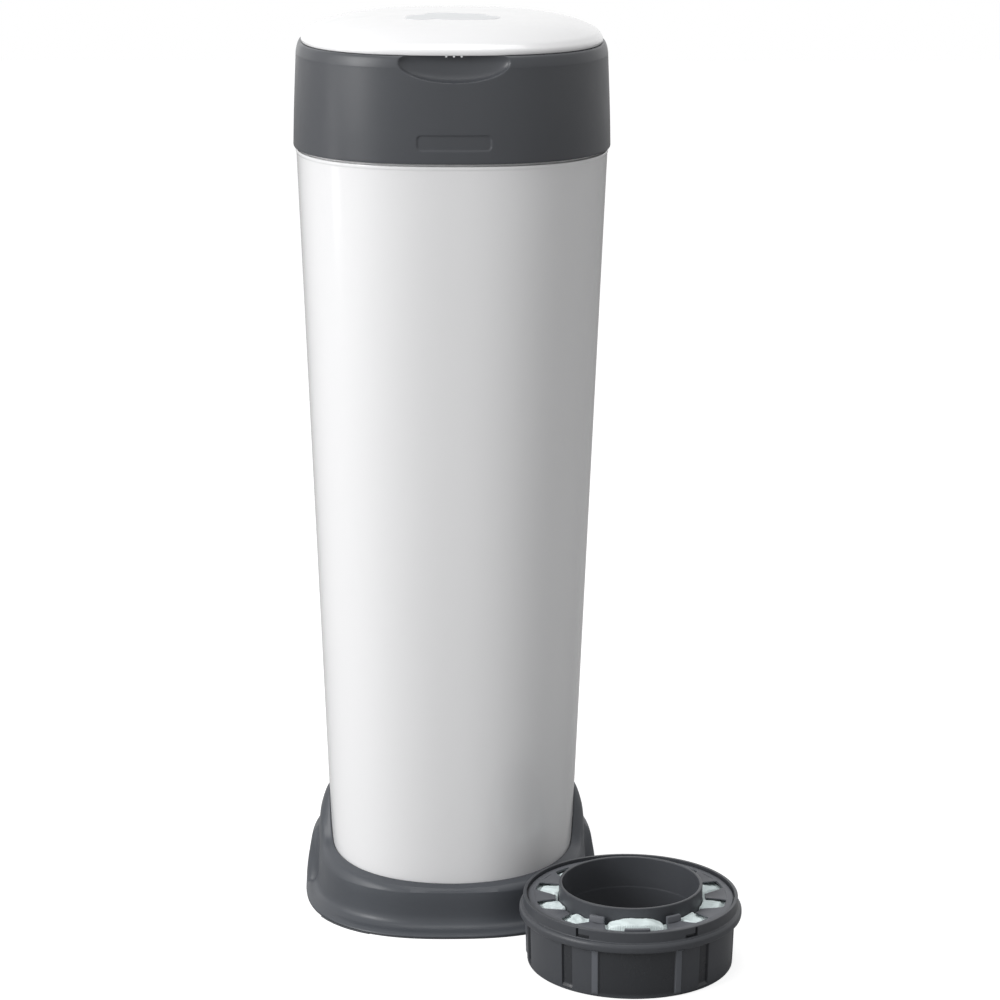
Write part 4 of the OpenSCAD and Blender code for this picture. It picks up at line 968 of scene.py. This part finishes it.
def finger_half(radius):
    """Half angle of a finger at a radius: it narrows from its root with the share t of the way to
    its tip, as finger_half - 5.8 t^0.8 degrees, and rounds off along an ellipse near the tip."""
    c = cassette()
    t = np.clip((c.finger_root + 2 * MM - radius) / (c.finger_root - c.finger_tip), 0, 1)
    round_start, round_length, narrowing = 0.9, 0.2, 5.8
    tip = np.sqrt(np.clip(1 - (np.clip(t - round_start, 0, None) / round_length) ** 2, 0, 1))
    return (c.finger_half - narrowing * t ** 0.8) * tip


def finger_top(radius):
    """Height of the fingers' upper side, which falls evenly from its root towards the tube."""
    c = cassette()
    above_seat, fall = 0.3 * MM, 1.7 * MM
    t = np.clip((c.finger_root - radius) / (c.finger_root - c.finger_tip), 0, 1)
    return c.seat_h + c.finger_t + above_seat - fall * t


def tray(centre, foot):
    """The tray: a closed outline turned about the axis, whose outer wall steps out at the ridges,
    in at the channels and the front panels, and in at the rim's six L-shaped slits. Also gives
    each point's painted light and gloss: -1 on the ridges, which get a painted highlight, and 1 on
    the panels, in the channels and in the slits, which get painted shade and a smoother surface."""
    c = cassette()
    top_r = c.foot_r + 1 * MM
    in_r, bore = c.rim_r - 2.6 * MM, c.tube_r - c.tube_wall
    body = rounded([(bore, 0.0, 0.4 * MM), (c.foot_r - 0.2 * MM, 0.0, 1.6 * MM),
                    (top_r, c.wall_h, 0.8 * MM), (c.flange_r - 0.6 * MM, c.wall_h, 1 * MM),
                    (c.flange_r, c.wall_h + 1.6 * MM, 1.2 * MM), (c.flange_r, c.wall_h + 5 * MM, 1.6 * MM),
                    (c.flange_r - 1.4 * MM, c.wall_h + 7 * MM)], 0.5 * MM)
    rim = rounded([(c.flange_r - 1.4 * MM, c.wall_h + 7 * MM), (c.rim_r, c.wall_h + 7.6 * MM, 0.6 * MM),
                   (c.rim_r, c.rim_h, 0.7 * MM), (in_r, c.rim_h, 0.5 * MM)], 0.5 * MM)
    step = TUBE_TOP - 26 * MM    # a faint step in the tube's bore
    inner = rounded([(in_r, c.rim_h - 0.7 * MM), (in_r, c.seat_h), (in_r - 3 * MM, c.seat_h),
                     (in_r - 3 * MM, c.seat_h - 1.6 * MM), (top_r - c.wall, c.seat_h - 3 * MM),
                     (c.foot_r - c.wall, c.wall, 1 * MM), (c.tube_r, c.wall, 1 * MM),
                     (c.tube_r, TUBE_TOP, 0.9 * MM), (bore, TUBE_TOP, 0.9 * MM),
                     (bore, step + 1.2 * MM, 0.6 * MM), (bore - 0.35 * MM, step, 0.6 * MM),
                     (bore - 0.35 * MM, 1 * MM)], 0.4 * MM)
    body, rim = divided(body, 1.3 * MM), divided(rim, 0.35 * MM)
    profile = np.concatenate([body, rim[1:], inner])

    # Each feature's centres, half width and soft edge, in degrees. A slit's foot lies to one side.
    thirds = np.array([FRONT, 30.0, 150.0])
    slits = np.array([-57.1, -122.9, 57.1, 122.9, 2.9, 177.1])
    foot_side = np.array([-1.0, 1.0, 1.0, -1.0, -1.0, 1.0])
    features = {"ridge": (np.concatenate([thirds - 23.0, thirds + 23.0]), 1.6, 0.6),
                "channel": (np.concatenate([thirds - 40.5, thirds + 40.5]), 3.2, 0.4),
                "panel": (thirds, 21.0, 0.5), "slit": (slits, 0.5, 0.25),
                "slit_foot": (slits + 3.2 * foot_side, 3.4, 0.3)}
    edges = [centres + sign * reach for centres, half, soft in features.values()
             for sign in (-1, 1) for reach in (half, half + soft)]
    degrees = np.unique(np.round(np.concatenate([np.arange(0, 360, 1.0), *edges]) % 360, 3))
    angles = np.radians(degrees)
    ridge, channel, panel, slit, slit_foot = (near_angle(angles, *f) for f in features.values())

    # Where each row takes the features: on the outer wall, and on the rim above the flange.
    r, z = profile[:, 0:1], profile[:, 1:2]
    row = np.arange(len(profile))[:, None]
    on_wall = (row < len(body)) & (r > c.foot_r - 2 * MM)
    wall = on_wall * smooth_step((z - 1.5 * MM) / (2 * MM)) * (z <= c.wall_h + 0.1 * MM)
    deep = on_wall * smooth_step((z - 3.6 * MM) / MM) * smooth_step((c.wall_h - 1.6 * MM - z) / MM)
    on_rim = (row >= len(body)) & (row < len(body) + len(rim) - 1) & (r > c.rim_r - 0.3 * MM)
    slit_edge = 0.35 * MM
    on_rim = on_rim * smooth_step((z - c.wall_h - 8.0 * MM) / slit_edge)
    cut = on_rim * np.maximum(slit * smooth_step((c.rim_h - 0.9 * MM - z) / slit_edge),
                              slit_foot * smooth_step((c.wall_h + 10.9 * MM - z) / slit_edge))
    ridge_out, panel_in, channel_in, slit_in = 1.0 * MM, 0.4 * MM, 1.6 * MM, 2.1 * MM
    radius = r + wall * (ridge_out * ridge - panel_in * panel) - deep * channel_in * channel - slit_in * cut
    # Painted highlight on the ridges and painted shade on the panels, in the channels and in the slits.
    polish = wall * (np.maximum(panel * (1 - ridge), channel) - ridge) + cut
    return about_axis(radius, angles, z + foot, centre, wrap_rows=True), polish


def fingers(centre, foot):
    """Each finger: a flattened oval section whose width follows finger_half and whose middle dips,
    carried from the root to the tip. A band joins the roots, two blocks stand at the front
    fingers' tips, and a bar bridges the front gap."""
    c = cassette()
    parts = []
    dip, lift, root_in, oval = 0.9 * MM, 0.5 * MM, 1.5 * MM, 0.45
    block_spread, bar_spread = 11.5, 15.0    # degrees
    along = np.concatenate([np.linspace(0, 0.8, 15), np.linspace(0.84, 0.995, 12)])
    radius = c.finger_root + root_in + (c.finger_tip - c.finger_root - root_in) * along
    t = np.linspace(0, 2 * math.pi, 40, endpoint=False)
    across, up = (np.sign(v) * np.abs(v) ** oval for v in (np.cos(t), np.sin(t)))
    middle = finger_top(radius)[:, None] - c.finger_t / 2 + lift
    rise = middle + 0.5 * c.finger_t * up - dip * (1 - across ** 2)
    for at in finger_angles():
        angle = np.radians(at + finger_half(radius)[:, None] * across[None, :])
        r = np.broadcast_to(radius[:, None], angle.shape)
        parts.append(about_axis(r, angle, rise + foot, centre, pole_start=True, pole_end=True))
    band_out = c.rim_r - 3.8 * MM
    band = rounded([(c.finger_root, c.seat_h + 0.2 * MM), (band_out, c.seat_h),
                    (band_out, c.seat_h + c.finger_t), (c.finger_root, c.seat_h + c.finger_t + 0.4 * MM)],
                   0.5 * MM, closed=True)
    parts.append(turned(band + (0.0, foot), around(360), centre, wrap_rows=True))
    block = [(c.finger_tip + 0.6 * MM, c.seat_h - 1 * MM), (c.finger_tip + 4 * MM, c.seat_h + 0.8 * MM),
             (c.finger_tip + 2.8 * MM, c.seat_h + 5.6 * MM), (c.finger_tip + 0.6 * MM, c.seat_h + 6 * MM)]
    for at in (FRONT - 1 - c.finger_first, FRONT + 1 + c.finger_first):
        parts.append(short_arc(block, at, block_spread, centre, foot))
    bar_in, bar_out = c.finger_root - 1.4 * MM, c.finger_root + 1.6 * MM
    bar_low, bar_high = c.seat_h + 0.6 * MM, c.seat_h + 3.9 * MM
    bar = [(bar_in, bar_low), (bar_out, bar_low), (bar_out, bar_high), (bar_in, bar_high)]
    parts.append(short_arc(bar, FRONT, bar_spread, centre, foot))
    return parts


def short_arc(outline, at, spread, centre, foot):
    """A rounded outline of (radius, height) turned over spread degrees, its ends drawn in."""
    loop = rounded(outline, 0.5 * MM, closed=True)
    middle = loop.mean(axis=0)
    share = np.concatenate([[-0.5, -0.47], np.linspace(-0.44, 0.44, 13), [0.47, 0.5]])
    shrink = np.concatenate([[0.12, 0.03], np.zeros(13), [0.03, 0.12]])[:, None, None]
    rings = loop[None] + (middle - loop)[None] * shrink
    return about_axis(rings[..., 0], np.radians(at + share * spread)[:, None], rings[..., 1] + foot, centre,
                      pole_start=True, pole_end=True)


def creases(u, v, seed, count, low, high):
    """Crumpled folds, from 0 to 1: the mean of sharp-crested waves 1 - |sin| in random directions,
    each bent a little, with low to high radians to a millimetre and long waves weighing most."""
    rng = np.random.default_rng(seed)
    full_turn = 6.28
    total = np.zeros(np.broadcast(u, v).shape)
    weight = 0.0
    for _ in range(count):
        turn = rng.uniform(0, math.pi)
        wave = rng.uniform(low, high)
        along = u * math.cos(turn) + v * math.sin(turn)
        aside = u * math.sin(turn) - v * math.cos(turn)
        bend = 0.6 * np.sin(aside * wave * 0.4 + rng.uniform(0, full_turn))
        phase = along * wave + rng.uniform(0, full_turn) + bend
        amount = 1.0 / wave
        total += amount * (1 - np.abs(np.sin(phase)))
        weight += amount
    return total / weight


def film(centre, foot, seed):
    """Pleated film: a closed ring whose top lies under the fingers and swells up between them,
    z = rest + lift * gap + crumple, where gap grows with the distance from the nearest finger, and
    lift has a mound at the front. The crest attribute is high on the crests and low in the folds,
    where the film's colour is darkened to teal as painted shade."""
    c = cassette()
    out, inner = c.foot_r - c.wall - 0.4 * MM, c.tube_r + 0.35 * MM
    low, rest = c.wall + 0.4 * MM, c.seat_h - 1.9 * MM
    mound, tear, crumple, crest_high, pleat_deep = 5 * MM, 5 * MM, 1.7 * MM, 5 * MM, 0.25 * MM
    bar_reach, bar_soft, swell_reach = 13, 4, 17    # degrees from the front
    pleats = 240
    angles = around(1200)
    deg = np.degrees(angles)
    top_r = np.linspace(out - 1.2 * MM, inner + 0.5 * MM, 56)
    r = np.broadcast_to(top_r[:, None], (len(top_r), len(angles)))
    u, v = angles[None, :] * c.foot_r / MM, r / MM
    ragged = (creases(u, v, seed + 2, 6, 0.12, 0.36) - 0.6) * tear
    fine = creases(u, v, seed, 7, 0.16, 0.5)
    broad = creases(u, v, seed + 1, 7, 0.10, 0.30)

    # How far each point is from a finger, and where the front's bar holds the film down.
    clear = np.radians(to_nearest(deg, finger_angles())[None, :] - finger_half(r)) * r + ragged
    ends = smooth_step((c.finger_root - 0.8 * MM - r) / (4 * MM))
    ends = ends * smooth_step((r - inner + 1 * MM) / (1.5 * MM))
    gap = smooth_step(clear / (3 * MM)) * ends
    front = to_nearest(deg, [FRONT])[None, :]
    behind_bar = smooth_step((c.finger_root - 2.2 * MM - r) / (2.5 * MM))
    free = 1 - smooth_step((bar_reach - front) / bar_soft) * (1 - behind_bar)

    swell = np.exp(-(front / swell_reach) ** 4) * behind_bar
    lift = (1.8 + 2.6 * broad * (1 - 0.6 * swell)) * MM + mound * swell
    z = rest + lift * gap * free + (fine - 0.5) * crumple * (0.2 + gap) * (1 - 0.55 * swell)
    limit = finger_top(r) - c.finger_t - 0.5 * MM + 8 * MM * smooth_step(clear / (1.4 * MM)) * free
    z = np.minimum(z, np.minimum(limit, c.seat_h + 6.4 * MM))

    # The pack's sides and foot below, pleated on the outside.
    sides = np.array([(inner, rest - 3 * MM), (inner, low), (out, low), (out, rest - 3 * MM)])
    sides_r, sides_z = (np.broadcast_to(column[:, None], (4, len(angles))) for column in sides.T)
    all_r, all_z = np.concatenate([r, sides_r]), np.concatenate([z, sides_z])
    pleat = pleat_deep * np.abs(np.sin(angles * pleats / 2))[None, :]
    all_r = np.clip(all_r - np.where(all_r > (inner + out) / 2, pleat, 0), inner, out)
    # Share of the film's own colour: low where the film lies low or in a fine crease, which gets the teal
    # painted shade.
    crest = np.clip((z - rest) / crest_high, 0, 1) * 0.6 + (fine - 0.3) * 0.9
    crest = np.concatenate([crest, np.full((4, len(angles)), 0.3)])
    return about_axis(all_r, angles, all_z + foot, centre, wrap_rows=True), crest


class NAPPY_OT_cassettes(bpy.types.Operator):
    """Adds both refill cassettes: tray, film fingers and pleated film"""

    bl_idname = "nappy.add_cassettes"
    bl_label = "Add cassettes"

    def execute(self, context):
        beside = ((SPARE_LOW.x + SPARE_HIGH.x) / 2, (SPARE_LOW.y + SPARE_HIGH.y) / 2)
        places = (("", (0.0, 0.0), TRAY_LOW.z, "twister", 11),
                  ("spare_", beside, SPARE_LOW.z, "spare_cassette", 23))
        for prefix, centre, foot, body, seed in places:
            # The tray's painted highlight and painted shade go with it as a point attribute.
            shell, polish = tray(centre, foot)
            tub = piece(prefix + "tray", [shell], body, finish("tray_plastic"),
                        attribute=("polish", polish))
            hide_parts(prefix + "cassette_tub")
            comb = piece(prefix + "fingers", fingers(centre, foot), body, finish("finger_plastic"))
            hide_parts(prefix + "cassette_ring")
            # The film's painted shade in its folds goes with it as a point attribute.
            shell, crest = film(centre, foot, seed)
            pack = piece(prefix + "film", [shell], body, finish("film"), sharp=80.0,
                         attribute=("crest", crest))
            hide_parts(prefix + "film_pack")
        return {"FINISHED"}


# ---- Inner pieces ----

class NAPPY_OT_inner(bpy.types.Operator):
    """Finishes the pieces that the head and the base hold inside"""

    bl_idname = "nappy.finish_inner"
    bl_label = "Finish inner pieces"

    def execute(self, context):
        finishes = {
            "deck_plastic": ("inner_deck", "finger_clamp", "pawl_cover", "cutter_rail"),
            "ring_plastic": ("twist_ring",),
            "liner_plastic": ("lid_liner", "seal_carrier"),
            "natural_plastic": ("click_pawl", "cutter_slider"),
            "rubber": ("head_seal", "lid_seal"),
            "foot_rubber": ("foot_ring",),
            "silicone": ("retaining_fingers",),
            "steel": ("base_screws", "deck_screws", "liner_screws", "head_hinge_pin", "lid_hinge_pin",
                      "cutter_blade"),
        }
        for material, nodes in finishes.items():
            for node in nodes:
                dress(node, material)
        self.add_spring()
        return {"FINISHED"}

    def add_spring(self):
        """The pawl's folded spring: a flat leaf carried along a path that runs across its channel
        and back, turning with round bends."""
        low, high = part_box("pawl_spring")
        leaf, folds, travel = 0.6 * MM, 4, 2 * MM
        across = (low.x + leaf / 2, high.x - leaf / 2)
        along = np.linspace(low.y + leaf / 2, high.y - leaf / 2, folds + 1)
        corners = [(across[(i + end) % 2], y) for i, y in enumerate(along) for end in (0, 1)]
        path = divided(rounded(corners, 0.6 * MM, steps=7), 0.5 * MM)
        way = np.gradient(path, axis=0)
        way /= np.linalg.norm(way, axis=1, keepdims=True)
        section = rounded([(-leaf / 2, low.z), (leaf / 2, low.z), (leaf / 2, high.z), (-leaf / 2, high.z)],
                          0.12 * MM, closed=True)
        x = path[:, 0:1] - way[:, 1:2] * section[:, 0]
        y = path[:, 1:2] + way[:, 0:1] * section[:, 0]
        z = np.broadcast_to(section[:, 1], x.shape)
        spring = piece("pawl_leaf_spring", [grid(x, y, z, pole_start=True, pole_end=True)], "head",
                       finish("natural_plastic"))
        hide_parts("pawl_spring")
        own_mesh(spring)


# ---- Studio ----

class NAPPY_OT_studio(bpy.types.Operator):
    """Adds the floor, the soft lights, the pale surroundings and the camera"""

    bl_idname = "nappy.add_studio"
    bl_label = "Add studio"

    def execute(self, context):
        scene = context.scene
        scene.view_settings.view_transform = "Standard"
        self.add_floor()
        self.add_world(scene)
        s = scene.nappy_studio
        target = Vector((0.0, 0.0, 0.36))    # the bin's middle
        self.add_light("key_light", (-2.62, -1.58, 1.62), target, 1.4, 1.8, s.key)
        self.add_light("side_light", (-2.44, -0.21, 0.88), target, 0.4, 2.0, s.side)
        self.add_light("top_light", (0.1, -0.1, 3.26), target, 1.6, 1.6, s.top)
        self.add_camera(scene, s)
        return {"FINISHED"}

    def add_floor(self):
        """A level sheet that the camera sees as white where no shadow falls."""
        reach = 6.0    # metres
        dark, light, glow = (0.44, 0.44, 0.44), (0.46, 0.46, 0.46), 0.8
        mesh = bpy.data.meshes.new("floor")
        mesh.from_pydata([(-reach, -reach, 0), (reach, -reach, 0), (reach, reach, 0), (-reach, reach, 0)], [],
                         [(0, 1, 2, 3)])
        floor = bpy.data.objects.new("floor", mesh)
        bpy.context.scene.collection.objects.link(floor)
        n = Nodes("floor_paper")
        n.join(n.mix(n.noise(3.0), dark, light), n.shader.inputs["Base Color"])
        n.shader.inputs["Roughness"].default_value = 0.9
        n.shader.inputs["Emission Color"].default_value = (1.0, 1.0, 1.0, 1.0)
        path = n.add("ShaderNodeLightPath")
        n.join(n.math("MULTIPLY", path.outputs["Is Camera Ray"], glow), n.shader.inputs["Emission Strength"])
        mesh.materials.append(n.material)

    def add_world(self, scene):
        """Even light all round, and white for what the camera and the gloss see."""
        world = bpy.data.worlds.new("studio")
        scene.world = world
        world.use_nodes = True
        tree = world.node_tree
        back = tree.nodes["Background"]
        back.inputs["Color"].default_value = (1.0, 1.0, 1.0, 1.0)
        path = tree.nodes.new("ShaderNodeLightPath")
        sky = tree.nodes.new("ShaderNodeMapRange")
        sky.inputs["To Min"].default_value = scene.nappy_studio.sky
        sky.inputs["To Max"].default_value = 1.0
        seen = path.outputs["Is Camera Ray"]
        for ray in ("Is Glossy Ray", "Is Transmission Ray"):
            either = tree.nodes.new("ShaderNodeMath")
            either.operation = "MAXIMUM"
            tree.links.new(seen, either.inputs[0])
            tree.links.new(path.outputs[ray], either.inputs[1])
            seen = either.outputs["Value"]
        tree.links.new(seen, sky.inputs["Value"])
        tree.links.new(sky.outputs["Result"], back.inputs["Strength"])

    def add_light(self, name, place, target, wide, tall, power):
        """A soft rectangular light at place, turned to face target."""
        data = bpy.data.lights.new(name, "AREA")
        data.shape = "RECTANGLE"
        data.size = wide
        data.size_y = tall
        data.energy = power
        lamp = bpy.data.objects.new(name, data)
        bpy.context.scene.collection.objects.link(lamp)
        lamp.location = place
        lamp.rotation_euler = (target - Vector(place)).to_track_quat("-Z", "Y").to_euler()

    def add_camera(self, scene, s):
        """The camera, level and facing the bin's front before it is turned, tilted and rolled."""
        data = bpy.data.cameras.new("camera")
        data.sensor_width = 36.0
        data.lens = s.lens
        data.clip_end = 50.0
        camera = bpy.data.objects.new("camera", data)
        scene.collection.objects.link(camera)
        turn = Matrix.Rotation(math.radians(s.camera_turn), 4, "Z")
        tilt = Matrix.Rotation(math.radians(90.0 - s.camera_tilt), 4, "X")
        roll = Matrix.Rotation(math.radians(s.camera_roll), 4, "Z")
        camera.matrix_world = Matrix.Translation((s.camera_x, s.camera_y, s.camera_z)) @ turn @ tilt @ roll
        scene.camera = camera


class NAPPY_PT_panel(bpy.types.Panel):
    """Lists the steps that build the bin"""

    bl_idname = "NAPPY_PT_panel"
    bl_label = "Nappy Bin"
    bl_space_type = "VIEW_3D"
    bl_region_type = "UI"
    bl_category = "Nappy Bin"

    def draw(self, context):
        for operator in STEPS:
            self.layout.operator(operator.bl_idname)
        for name in GROUPS:
            group = getattr(context.scene, name)
            box = self.layout.box()
            for key in group.__annotations__:
                box.prop(group, key)


STEPS = (NAPPY_OT_studio, NAPPY_OT_tub, NAPPY_OT_base, NAPPY_OT_collar, NAPPY_OT_lid, NAPPY_OT_cassettes,
         NAPPY_OT_inner)
GROUPS = {"nappy_sizes": BinSizes, "nappy_cassette": CassetteSizes, "nappy_colours": BinColours,
          "nappy_studio": StudioSettings}


def register():
    """Adds the groups of sizes and colours, the steps and the panel."""
    for group in GROUPS.values():
        bpy.utils.register_class(group)
    for name, group in GROUPS.items():
        setattr(bpy.types.Scene, name, PointerProperty(type=group))
    for operator in STEPS:
        bpy.utils.register_class(operator)
    bpy.utils.register_class(NAPPY_PT_panel)


def unregister():
    """Takes them away again, in the opposite order."""
    bpy.utils.unregister_class(NAPPY_PT_panel)
    for operator in reversed(STEPS):
        bpy.utils.unregister_class(operator)
    for name, group in GROUPS.items():
        delattr(bpy.types.Scene, name)
        bpy.utils.unregister_class(group)


def main():
    """Builds the bin."""
    register()
    bpy.ops.nappy.add_studio()
    bpy.ops.nappy.add_tub()
    bpy.ops.nappy.add_base()
    bpy.ops.nappy.add_collar()
    bpy.ops.nappy.add_lid()
    bpy.ops.nappy.add_cassettes()
    bpy.ops.nappy.finish_inner()


if __name__ == "__main__":
    main()
